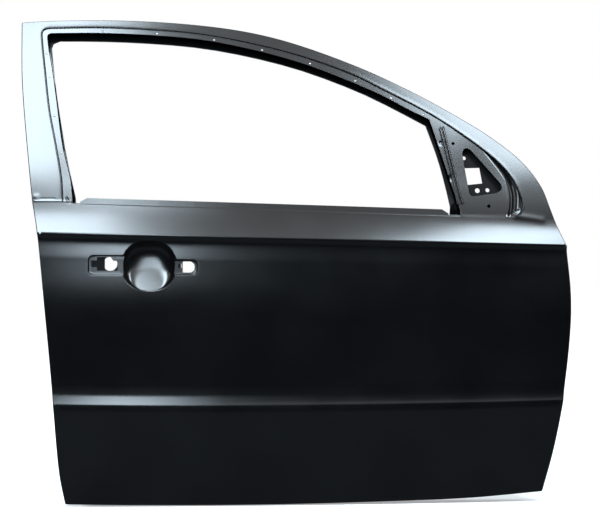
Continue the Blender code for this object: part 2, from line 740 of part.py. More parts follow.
def fold_edges(mesh, chosen, shift):
    """Draw a flange from the open edges whose two ends pass a test."""
    edges = [
        edge for edge in mesh.edges
        if edge.is_boundary and all(chosen(vertex.co.x, vertex.co.z) for vertex in edge.verts)]
    made = bmesh.ops.extrude_edge_only(mesh, edges=edges)
    for item in made["geom"]:
        if isinstance(item, bmesh.types.BMVert):
            item.co.y += shift


def near_loop(loop, x, z):
    """True on a loop's own line."""
    return loop_distance(loop, x, z) < 5 * WELD


def new_object(name, mesh, parts):
    data = bpy.data.meshes.new(name)
    mesh.to_mesh(data)
    mesh.free()
    obj = bpy.data.objects.new(name, data)
    parts.objects.link(obj)
    return obj


def thicken(obj, thickness):
    """Give an open sheet its thickness on the side away from its faces."""
    solid = obj.modifiers.new("Sheet", "SOLIDIFY")
    solid.thickness = thickness
    solid.offset = -1
    solid.use_even_offset = True
    solid.use_quality_normals = True


def cut(obj, cutter):
    bore = obj.modifiers.new("Cut", "BOOLEAN")
    bore.operation = "DIFFERENCE"
    bore.solver = "EXACT"
    bore.object = cutter


def finish(obj, look):
    """Own material and smooth shading with sharp folds."""
    colour, roughness, metallic = look
    material = bpy.data.materials.new(obj.name + "_finish")
    material.use_nodes = True
    shader = material.node_tree.nodes["Principled BSDF"]
    shader.inputs["Base Color"].default_value = colour
    shader.inputs["Roughness"].default_value = roughness
    shader.inputs["Metallic"].default_value = metallic
    material.diffuse_color = colour
    obj.data.materials.append(material)
    obj.data.shade_smooth()
    obj.data.set_sharp_from_angle(angle=math.radians(FOLD_DEGREES))


def filled_sheet(name, layout, outer, holes, depth, thickness, parts, look=PRIMER):
    """Pressed sheet that faces outboard."""
    mesh = layout.fill(outer, holes, depth)
    weld_and_face(mesh, (0, -1, 0))
    obj = new_object(name, mesh, parts)
    thicken(obj, thickness)
    finish(obj, look)
    return obj


def lofted_sheet(name, rows, outward, thickness, parts, look=PRIMER):
    """Sheet through rows of points, each with as many points as the next."""
    mesh = bmesh.new()
    add_strips(mesh, rows, closed=False)
    weld_and_face(mesh, outward)
    obj = new_object(name, mesh, parts)
    thicken(obj, thickness)
    finish(obj, look)
    return obj


def cutter_object(name, mesh, cutters):
    obj = new_object(name, mesh, cutters)
    obj.hide_render = True
    obj.display_type = "WIRE"
    return obj


def add_bore(mesh, centre, direction, diameter, length):
    """Round bar along a direction, for a hole."""
    turn = Vector((0, 0, 1)).rotation_difference(Vector(direction)).to_matrix().to_4x4()
    bmesh.ops.create_cone(
        mesh, cap_ends=True, segments=BORE_STEPS, radius1=diameter / 2, radius2=diameter / 2, depth=length,
        matrix=Matrix.Translation(centre) @ turn)


def add_block(mesh, centre, size, turn=Matrix.Identity(4)):
    scale = Matrix.Diagonal((size[0], size[1], size[2], 1))
    bmesh.ops.create_cube(mesh, size=1, matrix=Matrix.Translation(centre) @ turn @ scale)


def handle_region():
    """Corners of the box round the cup and its slots, where the rows stop."""
    border = 2 * SLOT_WALL
    return (
        BOWL[0] - REAR_SLOT_REACH - border, BOWL[0] + FRONT_SLOT_REACH + border,
        BOWL[1] - BOWL_HALF_HEIGHT - border, BOWL[1] + BOWL_HALF_HEIGHT + border)


def lay_rows(layout):
    """Construction rows of the skin from edge to edge, left open at the handle."""
    left, right, bottom, top = handle_region()
    for row in ROWS[:-1]:
        ends = [k for k, entry in enumerate(OUTLINE) if entry[1] == row]
        rear, front = (inset_point(k, HEM_LINE) for k in ends)
        points = [EDGE[ends[0]]]
        for step in range(ROW_DIVISIONS + 1):
            x = blend(rear[0], front[0], step / ROW_DIVISIONS)
            points.append((x, row_z(row, x)))
        points.append(EDGE[ends[1]])
        if row[0] == "shoulder" or row[1] > ROW_ABOVE_CUP_SHARE:
            layout.line(points)
            continue
        run = []
        for point in points:
            if left < point[0] < right and bottom < point[1] < top:
                layout.line(run)
                run = []
            else:
                run.append(point)
        layout.line(run)


def lay_belt(layout):
    """Belt row through the feet of the groove and the corners of the window."""
    row = ROWS[-1]
    ends = [k for k, entry in enumerate(OUTLINE) if entry[1] == row]
    rear, front = (inset_point(k, HEM_LINE) for k in ends)
    middle = belt_line(BELT_CORNER_REAR_SHARE, BELT_CORNER_FRONT_SHARE, 12)
    ahead = belt_line(BELT_CORNER_FRONT_SHARE, GROOVE_BASE_FRONT_SHARE, 3)
    layout.line([EDGE[ends[0]], rear, GROOVE[0]] + middle + ahead[1:] + [front, EDGE[ends[1]]])


def lay_groove(layout):
    """Groove line, the foot of its wall and the ledge of the rebate."""
    layout.line(GROOVE)
    inner = offset_line(GROOVE, RECESS_WALL, True)
    rear = (edge_x(WINDOW_PILLAR_SHARES, inner[0][1]), inner[0][1])
    front = (edge_x(WINDOW_BAR_SHARES, inner[-1][1]), inner[-1][1])
    layout.line([rear] + inner + [front])
    layout.line(LEDGE)
    layout.line(offset_line(LEDGE, -REBATE_WALL, False))


def rim_angles():
    """Angles of the cup's rim points: even steps, with the slots' corners in place of their neighbours."""
    special = []
    for side in (-1, 1):
        half, middle = slot_sizes(side)[1:]
        for up in (-1, 1):
            lift = (middle + up * half - BOWL[1]) / BOWL_HALF_HEIGHT
            rise = math.copysign(abs(lift) ** (BOWL_SQUARENESS / 2), lift)
            angle = math.asin(rise)
            special.append(math.pi - angle if side < 0 else angle)
    step = 2 * math.pi / BOWL_STEPS
    even = [k * step - math.pi / 2 for k in range(BOWL_STEPS)]
    kept = [angle for angle in even if all(abs(angle - other) > step / 2 for other in special)]
    return sorted(kept + special)


def scaled_cutout(table, side):
    """Cutout in a slot from shares of the slot's reach and height."""
    reach, half, middle = slot_sizes(side)
    return [(BOWL[0] + share[0] * reach, middle + share[1] * 2 * half) for share in table]


def lay_handle(layout):
    """Rim and rings of the cup, and the slots outside it."""
    angles = rim_angles()
    layout.line([bowl_point(angle, 1.0) for angle in angles], closed=True)
    for share in BOWL_RING_SHARES:
        layout.scatter([bowl_point(angle, share) for angle in angles[::1 if share > 0.5 else 2]])
    layout.scatter([BOWL])
    for side in (-1, 1):
        half, middle = slot_sizes(side)[1:]
        specials = [
            bowl_point(angle, 1.0) for angle in angles
            if (bowl_point(angle, 1.0)[0] - BOWL[0]) * side > 0
            and abs(abs(bowl_point(angle, 1.0)[1] - middle) - half) < 10 * WELD]
        upper = max(specials, key=lambda point: point[1])
        lower = min(specials, key=lambda point: point[1])
        layout.line([upper] + SLOTS[side][1:-1] + [lower])
        floor = slot_loop(side, SLOT_WALL)
        ring = [point for point in floor if bowl_share(*point) > 1]
        layout.line(ring)


def sail_points():
    """Loose points that keep the mirror plate's surface true."""
    points = []
    columns, levels = 5, 6
    low, high = SAIL_GRID_SHARES
    for i in range(1, columns):
        for k in range(1, levels):
            points.append(place((blend(low[0], high[0], i / columns), blend(low[1], high[1], k / levels))))
    return points


def rail_frame(station):
    """Centre of the rail on the mirror plate at a station, with the direction across it."""
    top, foot = Vector(place(RAIL_TOP_SHARES)), Vector(place(RAIL_FOOT_SHARES))
    down = (foot - top).normalized()
    return top.lerp(foot, station / (RAIL_STATIONS - 1)), Vector((-down.y, down.x))


def rail_edge(side):
    line = []
    for station in range(RAIL_STATIONS):
        centre, across = rail_frame(station)
        line.append(tuple(centre + across * (side * RAIL_WIDTH / 2)))
    return line


def hem_back():
    """Depth of the hem's inboard face behind the skin's outer face."""
    return 2 * SKIN_SHEET + 2 * HEM_GAP + INNER_SHEET


def outer_panel(parts):
    """Skin of the door: creases, window frame, mirror plate, handle cup and the hem round its edge."""
    layout = Layout()
    layout.line(EDGE, closed=True)
    layout.line(inset_loop(HEM_LINE, HEM_LINE_FRAME), closed=True)
    lay_rows(layout)
    lay_belt(layout)
    lay_groove(layout)
    lay_handle(layout)
    layout.line(WINDOW, closed=True)
    mirror_hole = places(MIRROR_HOLE_SHARES)
    cutouts = [
        scaled_cutout(REAR_CUTOUT_SHARES, -1), scaled_cutout(FRONT_CUTOUT_SHARES, 1),
        scaled_cutout(FRONT_PILOT_SHARES, 1)]
    clips = [circle(place(shares), SAIL_CLIP_BORE / 2, CLIP_STEPS) for shares in SAIL_CLIP_SHARES]
    holes = [mirror_hole] + cutouts + clips
    for hole in holes:
        layout.line(hole, closed=True)
    layout.line(rail_edge(-1))
    layout.line(rail_edge(1))
    layout.scatter(sail_points())
    mesh = layout.fill(EDGE, [WINDOW] + holes, outer_face_y)
    bmesh.ops.remove_doubles(mesh, verts=mesh.verts, dist=WELD)

    def on_window(x, z):
        return near_loop(WINDOW, x, z) and z > belt_z(x) + RECESS_WALL / 2

    fold_edges(mesh, on_window, WINDOW_FLANGE)
    back = inset_loop(HEM_WIDTH, HEM_WIDTH_FRAME)
    depth = hem_back()
    add_strips(mesh, [
        [(x, skin_y(x, z), z) for x, z in EDGE],
        [(x, layer_y(x, z, depth), z) for x, z in EDGE],
        [(x, layer_y(x, z, depth), z) for x, z in back]])
    bmesh.ops.remove_doubles(mesh, verts=mesh.verts, dist=WELD)
    bmesh.ops.recalc_face_normals(mesh, faces=mesh.faces)
    front = max(mesh.faces, key=lambda face: -face.calc_center_median().y * face.calc_area())
    if front.normal.y > 0:
        bmesh.ops.reverse_faces(mesh, faces=mesh.faces)
    obj = new_object("outer_panel", mesh, parts)
    thicken(obj, SKIN_SHEET)
    finish(obj, PRIMER)


def wall_x_limit(side, z):
    """Cavity face of the hinge wall (side 1) or of the latch wall (side -1)."""
    if side > 0:
        return -INNER_SHEET
    return edge_x(REAR_EDGE_SHARES, 0.0) + LATCH_INSET - LATCH_LEAN_SHARE * z


def wall_point(index):
    """Outline point moved in to the inner panel's side wall."""
    point, row, side = OUTLINE[index]
    share = frame_part(index)
    shelf = blend(SHELF_REAR, SHELF_FRONT, ramp(length_share(point[0])))
    x, z = inset_point(index, blend(shelf, FRAME_RIM_SHARE * DOOR_HEIGHT, share))
    limited = max(min(x, wall_x_limit(1, z)), wall_x_limit(-1, z))
    x = blend(limited, x, share)
    if row is not None:
        z = row_z(row, x)
    return (x, z)


def moved_towards(start, end, distance):
    reach = math.dist(start, end)
    return (blend(start[0], end[0], distance / reach), blend(start[1], end[1], distance / reach))


def frame_share(x, z):
    """0 on the inner panel's body and 1 on its window frame."""
    belt = belt_z(x)
    rear = place((PILLAR_BLEND_SHARE, 0.0))[0]
    front = place((SAIL_BLEND_SHARE, 0.0))[0]
    above = ramp((z - belt + BLEND_BELOW) / (BLEND_BELOW + BLEND_ABOVE))
    beside = max(ramp((rear + BLEND_WIDTH - x) / BLEND_WIDTH), ramp((x - front + BLEND_WIDTH) / BLEND_WIDTH))
    return above * max(beside, ramp((z - belt) / BLEND_ABOVE))


def pocket_outline():
    """Outline of the pocket in the inner panel, whose top keeps below the belt bar."""
    drop = INNER_BELT_DROP + CUT_OVERRUN + BELT_BAR_HEIGHT + POCKET_CLEARANCE
    top = [(x, belt_z(x) - drop) for x, z in places((share, 0.0) for share in POCKET_TOP_SHARES)]
    return divided(top + places(POCKET_SHARES), POCKET_STEP)


SPEAKER = place(SPEAKER_SHARES)
POCKET = pocket_outline()


def inner_relief(x, z):
    """Depth of the pocket pressed into the inner panel, less the raised seat round the speaker hole."""
    depth = POCKET_DEPTH * ramp(inside_distance(POCKET, x, z) / POCKET_WALL)
    reach = SPEAKER_SEAT / 2 - math.dist((x, z), SPEAKER)
    return depth - SPEAKER_RISE * ramp(reach / POCKET_WALL)


def inner_face_y(x, z):
    """Cavity face of the inner panel."""
    share = frame_share(x, z)
    body = INNER_FACE_Y - inner_relief(x, z)
    if not share:
        return body
    return blend(body, layer_y(x, z, FRAME_DEPTH), share)


def lip_loop():
    """Edge of the inner panel round the window, clockwise from the rear end of the belt."""
    belt = [
        (x, z - INNER_BELT_DROP) for x, z in belt_line(LIP_BAR_SHARES[-1][0], LIP_PILLAR_SHARES[0][0], 22)]
    pillar = smooth_line(places(LIP_PILLAR_SHARES + LIP_CORNER_SHARES[:1]), 9)
    roof = smooth_line(places(LIP_ROOF_SHARES), 17)
    bar = smooth_line(places(LIP_BAR_SHARES), 6)
    return pillar + places(LIP_CORNER_SHARES[1:]) + roof + bar[1:] + belt


def blend_points():
    """Loose points where the inner panel's body runs into its window frame."""
    points = []
    for (start_share, end_share), columns in zip(BLEND_GRID_SHARES, BLEND_COLUMNS):
        for column in range(columns + 1):
            x = place((blend(start_share, end_share, column / columns), 0.0))[0]
            points += [(x, belt_z(x) - BLEND_BELOW + BLEND_ABOVE * level / 2) for level in range(-1, 8)]
    return points


def inner_panel(parts, cutters):
    """Deep inner pressing: hem flange, side walls, face with its openings, and the window's inner lip."""
    count = len(EDGE)
    shares = [frame_part(index) for index in range(count)]
    walls = [wall_point(index) for index in range(count)]
    flange_y = SKIN_SHEET + HEM_GAP
    edge = inset_loop(FLANGE_EDGE, FLANGE_EDGE)
    foot = inset_loop(FLANGE_WIDTH, FLANGE_WIDTH_FRAME)
    step = inset_loop(FLANGE_WIDTH + SHELF_ROUND, FLANGE_WIDTH_FRAME + SHELF_ROUND_FRAME)
    steps = [blend(SHELF_STEP, SHELF_STEP_FRAME, share) for share in shares]
    rounds = [
        min(blend(SHELF_ROUND, SHELF_ROUND_FRAME, share), math.dist(wall, point) * ROUND_LIMIT_SHARE)
        for share, wall, point in zip(shares, walls, step)]
    crowns = [blend(INNER_ROUND, SHELF_ROUND, share) for share in shares]
    shelf = [moved_towards(wall, point, size) for wall, point, size in zip(walls, step, rounds)]
    rim = [moved_towards(wall, point, -size) for wall, point, size in zip(walls, EDGE, crowns)]
    layout = Layout()
    layout.line(rim, closed=True)
    lip = lip_loop()
    mirror_hole = places(MIRROR_HOLE_SHARES)
    speaker_hole = circle(SPEAKER, SPEAKER_BORE / 2, SPEAKER_STEPS)
    service = [rounded_polygon(places(table), SERVICE_CORNER) for table in SERVICE_HOLE_SHARES]
    clips = [circle(place(shares), CLIP_BORE / 2, CLIP_STEPS) for shares in TRIM_CLIP_SHARES]
    holes = [lip, mirror_hole, speaker_hole] + service + clips
    for hole in holes:
        layout.line(hole, closed=True)
    layout.line(circle(SPEAKER, SPEAKER_SEAT / 2, SPEAKER_STEPS), closed=True)
    layout.line(circle(SPEAKER, SPEAKER_SEAT / 2 - POCKET_WALL, SPEAKER_STEPS), closed=True)
    layout.line(POCKET, closed=True)
    layout.line(offset_line(POCKET, POCKET_WALL, True), closed=True)
    loose = [point for point in blend_points() if is_inside(rim, *point)]
    layout.scatter([point for point in loose if not is_inside(lip, *point)])
    mesh = layout.fill(rim, holes, inner_face_y)
    bmesh.ops.remove_doubles(mesh, verts=mesh.verts, dist=WELD)

    def on_lip(x, z):
        return near_loop(lip, x, z)

    fold_edges(mesh, on_lip, -LIP_FLANGE)
    add_strips(mesh, [
        [(x, layer_y(x, z, flange_y), z) for x, z in edge],
        [(x, layer_y(x, z, flange_y), z) for x, z in foot],
        [(x, layer_y(x, z, depth), z) for (x, z), depth in zip(step, steps)],
        [(x, layer_y(x, z, depth), z) for (x, z), depth in zip(shelf, steps)],
        [(x, layer_y(x, z, depth + size), z) for (x, z), depth, size in zip(walls, steps, rounds)],
        [(x, inner_face_y(*inner) - size, z) for (x, z), inner, size in zip(walls, rim, crowns)],
        [(x, inner_face_y(x, z), z) for x, z in rim]])
    bmesh.ops.remove_doubles(mesh, verts=mesh.verts, dist=WELD)
    bmesh.ops.recalc_face_normals(mesh, faces=mesh.faces)
    widest = max(mesh.faces, key=lambda face: face.calc_area() * abs(face.normal.y))
    if widest.normal.y > 0:
        bmesh.ops.reverse_faces(mesh, faces=mesh.faces)
    obj = new_object("inner_panel", mesh, parts)
    thicken(obj, INNER_SHEET)
    cut(obj, wall_cutter(cutters))
    finish(obj, PRIMER)


HINGE_HEIGHTS = (0.0, -HINGE_PITCH)
LATCH_Z = place((0.0, LATCH_Z_SHARE))[1]
LATCH_BOLTS = ((0.5, -0.2), (-0.5, -0.2), (-0.5, 0.35))


def hinge_bolts(z):
    return [(0.0, 0.0, z + side * HINGE_BOLT_PITCH / 2) for side in (-1, 1)]


def latch_mouth(mesh, depth):
    """Slot in the latch wall, open towards the cabin."""
    x = wall_x_limit(-1, LATCH_Z)
    reach = LATCH_MOUTH_DEPTH + 2 * CUT_OVERRUN
    centre = (x, INNER_FACE_Y + 2 * CUT_OVERRUN - reach / 2, LATCH_Z)
    add_block(mesh, centre, (depth, reach, LATCH_MOUTH_HEIGHT))


def latch_bolts():
    bolts = []
    for up, along in LATCH_BOLTS:
        z = LATCH_Z + up * LATCH_BOLT_PITCH
        bolts.append((wall_x_limit(-1, z), along * LATCH_PLATE_DEPTH, z))
    return bolts


def wall_cutter(cutters):
    """Holes through the hinge wall and the latch wall."""
    mesh = bmesh.new()
    length = 2 * CUT_OVERRUN
    for z in HINGE_HEIGHTS:
        for bolt in hinge_bolts(z):
            add_bore(mesh, bolt, (1, 0, 0), HINGE_BOLT_BORE, length)
    add_check_link_cuts(mesh, length)
    for bolt in latch_bolts():
        add_bore(mesh, bolt, (1, 0, 0), LATCH_BOLT_BORE, length)
    latch_mouth(mesh, 4 * CUT_OVERRUN)
    return cutter_object("wall_cutter", mesh, cutters)


def add_check_link_cuts(mesh, length):
    z = -CHECK_LINK_DROP
    add_block(mesh, (0.0, 0.0, z), (length, CHECK_SLOT, CHECK_SLOT_HEIGHT))
    for side in (-1, 1):
        add_bore(mesh, (0.0, 0.0, z + side * CHECK_BOLT_PITCH / 2), (1, 0, 0), LATCH_BOLT_BORE, length)


def corner_plate(name, side, low, high, y_low, leg, thickness, parts):
    """Plate on a side wall's cavity face that folds on to the inner panel's face."""
    rows = []
    face = INNER_FACE_Y - SEAT_GAP
    for z in (low, high):
        wall = wall_x_limit(side, z) - side * SEAT_GAP
        fold = INNER_ROUND + SHELF_STEP_FRAME
        rows.append([
            (wall, y_low, z), (wall, face - fold, z),
            (wall - side * fold, face, z), (wall - side * leg, face, z)])
    return lofted_sheet(name, rows, (side, 1, 0), thickness, parts)


def hinge_reinforcement(name, z, parts, cutters):
    """Plate behind a hinge seat, with its two bolt holes."""
    half = HINGE_PAD_HEIGHT / 2
    obj = corner_plate(name, 1, z - half, z + half, -HINGE_PAD_FOOT, HINGE_PAD_LEG, HEAVY_SHEET, parts)
    mesh = bmesh.new()
    for bolt in hinge_bolts(z):
        add_bore(mesh, bolt, (1, 0, 0), HINGE_BOLT_BORE, 4 * CUT_OVERRUN)
    cut(obj, cutter_object(name + "_cutter", mesh, cutters))


def tapping_plate(name, z, parts, cutters):
    """Thick tapped plate that the hinge bolts pull against."""
    x = -INNER_SHEET - 2 * SEAT_GAP - HEAVY_SHEET - PLATE_SHEET / 2
    mesh = bmesh.new()
    add_block(mesh, (x, 0.0, z), (PLATE_SHEET, TAPPING_DEPTH, TAPPING_HEIGHT))
    obj = new_object(name, mesh, parts)
    holes = bmesh.new()
    for bolt in hinge_bolts(z):
        add_bore(holes, (x, bolt[1], bolt[2]), (1, 0, 0), HINGE_BOLT_BORE - SKIN_SHEET, 2 * CUT_OVERRUN)
    cut(obj, cutter_object(name + "_cutter", holes, cutters))
    finish(obj, PLATED_STEEL)


def check_link_reinforcement(parts, cutters):
    """Flat plate behind the door check's slot."""
    x = -INNER_SHEET - SEAT_GAP
    half = CHECK_PLATE_HEIGHT / 2
    heights = (-CHECK_LINK_DROP - half, -CHECK_LINK_DROP + half)
    ends = (-CHECK_PLATE_FOOT, INNER_FACE_Y - CHECK_PLATE_CLEARANCE)
    rows = [[(x, y, z) for y in ends] for z in heights]
    obj = lofted_sheet("check_link_reinforcement", rows, (1, 0, 0), HEAVY_SHEET, parts)
    mesh = bmesh.new()
    add_check_link_cuts(mesh, 4 * CUT_OVERRUN)
    cut(obj, cutter_object("check_link_cutter", mesh, cutters))


def latch_reinforcement(parts, cutters):
    """Plate behind the latch seat, with its mouth and three bolt holes."""
    half = LATCH_PLATE_HEIGHT / 2
    obj = corner_plate(
        "latch_reinforcement", -1, LATCH_Z - half, LATCH_Z + half, -LATCH_PLATE_DEPTH / 2,
        LATCH_PLATE_DEPTH / 2, HEAVY_SHEET, parts)
    mesh = bmesh.new()
    for bolt in latch_bolts():
        add_bore(mesh, bolt, (1, 0, 0), LATCH_BOLT_BORE, 4 * CUT_OVERRUN)
    latch_mouth(mesh, 6 * CUT_OVERRUN)
    cut(obj, cutter_object("latch_cutter", mesh, cutters))


def beam_point(share):
    """Centre of the side impact beam, from its rear end (0) to its front end (1)."""
    rear_z = place((0.0, BEAM_REAR_Z_SHARE))[1]
    front_z = (BRACKET_TOP + BRACKET_FOOT) / 2
    rear_x = wall_x_limit(-1, rear_z) + BEAM_END_GAP
    front_x = wall_x_limit(1, front_z) - BEAM_END_GAP
    rear_y = skin_y(rear_x, rear_z) + BEAM_STANDOFF
    front_y = skin_y(front_x, front_z) + BEAM_STANDOFF
    return (blend(rear_x, front_x, share), blend(rear_y, front_y, share), blend(rear_z, front_z, share))


def impact_beam(parts):
    """Steel tube that slopes down to the rear behind the skin."""
    rows = []
    start, end = Vector(beam_point(0.0)), Vector(beam_point(1.0))
    turn = Vector((0, 0, 1)).rotation_difference(end - start)
    for centre in (start, end):
        ring = [turn @ Vector((x, y, 0)) for x, y in circle((0, 0), BEAM_DIAMETER / 2, BEAM_STEPS)]
        rows.append([tuple(centre + point) for point in ring])
    mesh = bmesh.new()
    add_strips(mesh, rows)
    bmesh.ops.recalc_face_normals(mesh, faces=mesh.faces)
    outward = mesh.faces[:][0]
    if outward.normal.dot(outward.calc_center_median() - (start + end) / 2) < 0:
        bmesh.ops.reverse_faces(mesh, faces=mesh.faces)
    obj = new_object("impact_beam", mesh, parts)
    thicken(obj, BEAM_WALL)
    finish(obj, BEAM_PRIMER)


def beam_bracket(name, side, parts):
    """Bracket with a leg on a side wall and a tongue along the beam's inboard side."""
    share = (side + 1) / 2
    end = beam_point(share)
    length = math.dist(beam_point(0.0), beam_point(1.0))
    far = beam_point(share - side * BRACKET_TONGUE / length)
    rise = BEAM_DIAMETER / 2 + SEAT_GAP
    rows = []
    for up in (-1, 1):
        z = end[2] + up * BRACKET_HEIGHT / 2
        far_z = far[2] + up * BRACKET_HEIGHT / 2
        wall = wall_x_limit(side, z) - side * SEAT_GAP
        fold = SHELF_ROUND
        rows.append([
            (wall, end[1] + rise + BRACKET_LEG, z), (wall, end[1] + rise + fold, z),
            (wall - side * fold, end[1] + rise, z), (far[0], far[1] + rise, far_z)])
    lofted_sheet(name, rows, (side, -1, 0), HEAVY_SHEET, parts)


def anti_flutter_pad(name, share, parts):
    """Mastic pad between the beam and the skin."""
    x, y, z = beam_point(share)
    ring = circle((x, z), PAD_DIAMETER / 2, BORE_STEPS)
    near = y - BEAM_DIAMETER / 2 - SEAT_GAP
    mesh = bmesh.new()
    rows = [
        [(px, layer_y(px, pz, SKIN_SHEET + FORM_GAP), pz) for px, pz in ring],
        [(px, near, pz) for px, pz in ring]]
    add_strips(mesh, rows)
    bmesh.ops.remove_doubles(mesh, verts=mesh.verts, dist=WELD)
    bmesh.ops.holes_fill(mesh, edges=mesh.edges)
    bmesh.ops.recalc_face_normals(mesh, faces=mesh.faces)
    obj = new_object(name, mesh, parts)
    finish(obj, MASTIC)


def belt_reinforcement_outer(parts):
    """Strip behind the skin's belt edge that stands just above it."""
    rear = place((BELT_STRIP_REAR_SHARE, 0.0))[0]
    front = place((BELT_STRIP_FRONT_SHARE, 0.0))[0]
    low, high = rear + BELT_STRIP_CHAMFER, front - BELT_STRIP_CHAMFER
    shares = [step / BELT_STRIP_STEPS for step in range(BELT_STRIP_STEPS + 1)]
    stations = [rear] + [blend(low, high, share) for share in shares] + [front]
    rows = []
    near = SKIN_SHEET + FORM_GAP
    for x in stations:
        belt = belt_z(x)
        end = x in (rear, front)
        top = SHELF_ROUND if end else BELT_STRIP_RISE
        shoulder = belt - (belt - belt_crease_z(x)) * (1 - SHOULDER_ROW_SHARES[2])
        lower = belt - BELT_STRIP_DROP
        rows.append([
            (x, layer_y(x, belt + top, near), belt + top), (x, layer_y(x, belt, near), belt),
            (x, layer_y(x, shoulder, near), shoulder),
            (x, layer_y(x, shoulder - BELT_HAT, near + BELT_HAT), shoulder - BELT_HAT),
            (x, layer_y(x, lower, near + BELT_HAT), lower)])
    lofted_sheet("belt_reinforcement_outer", rows, (0, -1, 0), SKIN_SHEET, parts)


def belt_reinforcement_inner(parts):
    """Hat-section bar along the belt on the inner panel's cavity face."""
    rows = []
    face = INNER_FACE_Y - SEAT_GAP
    rim = BELT_BAR_HEIGHT * BELT_BAR_RIM_SHARE
    side = BELT_BAR_HEIGHT * BELT_BAR_SIDE_SHARE
    for share in (BELT_BAR_REAR_SHARE, BELT_BAR_FRONT_SHARE):
        x = place((share, 0.0))[0]
        top = belt_z(x) - INNER_BELT_DROP - CUT_OVERRUN
        low = top - BELT_BAR_HEIGHT
        rows.append([
            (x, face, low), (x, face, low + rim), (x, face - BELT_BAR_DEPTH, low + side),
            (x, face - BELT_BAR_DEPTH, top - side), (x, face, top - rim), (x, face, top)])
    lofted_sheet("belt_reinforcement_inner", rows, (0, 1, 0), SKIN_SHEET, parts)


def mirror_reinforcement(parts):
    """Dished plate seen through the mirror corner, with its window and bolt holes."""
    hole = places(MIRROR_HOLE_SHARES)
    outer = places(MIRROR_PLATE_SHARES)
    rim = offset_line(hole, -SHELF_STEP_FRAME, True)
    floor = offset_line(rim, MIRROR_DISH_WALL, True)
    window = places(MIRROR_WINDOW_SHARES)
    centres = places(MIRROR_BOLT_SHARES)
    bolts = [circle(centre, bore / 2, CLIP_STEPS) for centre, bore in zip(centres, MIRROR_BOLT_BORES)]
    layout = Layout()
    for loop in [outer, rim, floor, window] + bolts:
        layout.line(loop, closed=True)

    def depth(x, z):
        seat = skin_y(x, z) + RECESS_DEPTH + (SKIN_SHEET + FORM_GAP) * slope_factor(x, z)
        return seat + MIRROR_DISH * ramp(inside_distance(rim, x, z) / MIRROR_DISH_WALL)

    filled_sheet("mirror_reinforcement", layout, outer, [window] + bolts, depth, HEAVY_SHEET, parts)


def handle_reinforcement(parts):
    """Plate behind the handle, with openings for the cup, the lock and the handle's front foot."""
    corners = []
    for across, up in ((-1, -1), (-1, 1), (1, 1), (1, -1)):
        rear = wall_x_limit(-1, BOWL[1]) + HANDLE_PLATE_SETBACK
        end = rear if across < 0 else BOWL[0] + HANDLE_PLATE_FRONT
        corners.append((end, BOWL[1] + up * HANDLE_PLATE_HALF_HEIGHT))
    outer = rounded_polygon(corners, HANDLE_PLATE_CORNER)
    steps = BOWL_STEPS
    cup = [bowl_point(k * 2 * math.pi / steps, HANDLE_PLATE_HOLE_SHARE) for k in range(steps)]
    lock_reach = BOWL_HALF_LENGTH * HANDLE_PLATE_HOLE_SHARE + HANDLE_LOCK_GAP + HANDLE_LOCK_BORE / 2
    lock = circle((BOWL[0] - lock_reach, BOWL[1] + HANDLE_LOCK_RISE), HANDLE_LOCK_BORE / 2, BORE_STEPS)
    reach, half, middle = slot_sizes(1)
    foot = [(BOWL[0] + reach * along, middle + half * up) for along, up in HANDLE_FOOT_SHARES]
    layout = Layout()
    for loop in (outer, cup, lock, foot):
        layout.line(loop, closed=True)
    for loop in SLOTS.values():
        layout.scatter([point for point in loop[1:-1] if is_inside(outer, *point)])

    def depth(x, z):
        return layer_y(x, z, SLOT_DEPTH + SKIN_SHEET + FORM_GAP)

    filled_sheet("handle_reinforcement", layout, outer, [cup, lock, foot], depth, HEAVY_SHEET, parts)


def front_run_channel(parts):
    """Ribbed rail on the mirror plate along the front of the window."""
    rows = []
    lift = SEAT_GAP + SKIN_SHEET
    for station in range(RAIL_STATIONS):
        centre, across = rail_frame(station)
        row = []
        for side, height in RAIL_SECTION_SHARES:
            x, z = centre + across * (side * RAIL_WIDTH / 2)
            seat = skin_y(x, z) + RECESS_DEPTH
            row.append((x, seat - (lift + height * RAIL_HEIGHT) * slope_factor(x, z), z))
        rows.append(row)
    lofted_sheet("front_run_channel", rows, (0, -1, 0), SKIN_SHEET, parts)


def guide_line(side):
    """Top and foot of the front glass guide (side 1) or of the rear one (side -1)."""
    ends = places(FRONT_GUIDE_SHARES)
    if side < 0:
        heights = [place((0.0, height))[1] for height in REAR_GUIDE_Z_SHARES]
        ends = [(wall_x_limit(-1, z) + setback, z) for z, setback in zip(heights, REAR_GUIDE_SETBACKS)]
    shifts = (0.0, GUIDE_FOOT_SHIFT)
    return [(x, skin_y(x, belt_z(x)) + GUIDE_PLANE - shift, z) for (x, z), shift in zip(ends, shifts)]


def glass_guide(name, side, parts):
    """Channel for an edge of the window glass, open towards the glass."""
    rows = []
    for x, y, z in guide_line(side):
        half = GUIDE_WIDTH / 2
        mouth = x - side * GUIDE_DEPTH
        rows.append([(mouth, y - half, z), (x, y - half, z), (x, y + half, z), (mouth, y + half, z)])
    lofted_sheet(name, rows, (side, 0, 0), SKIN_SHEET, parts)


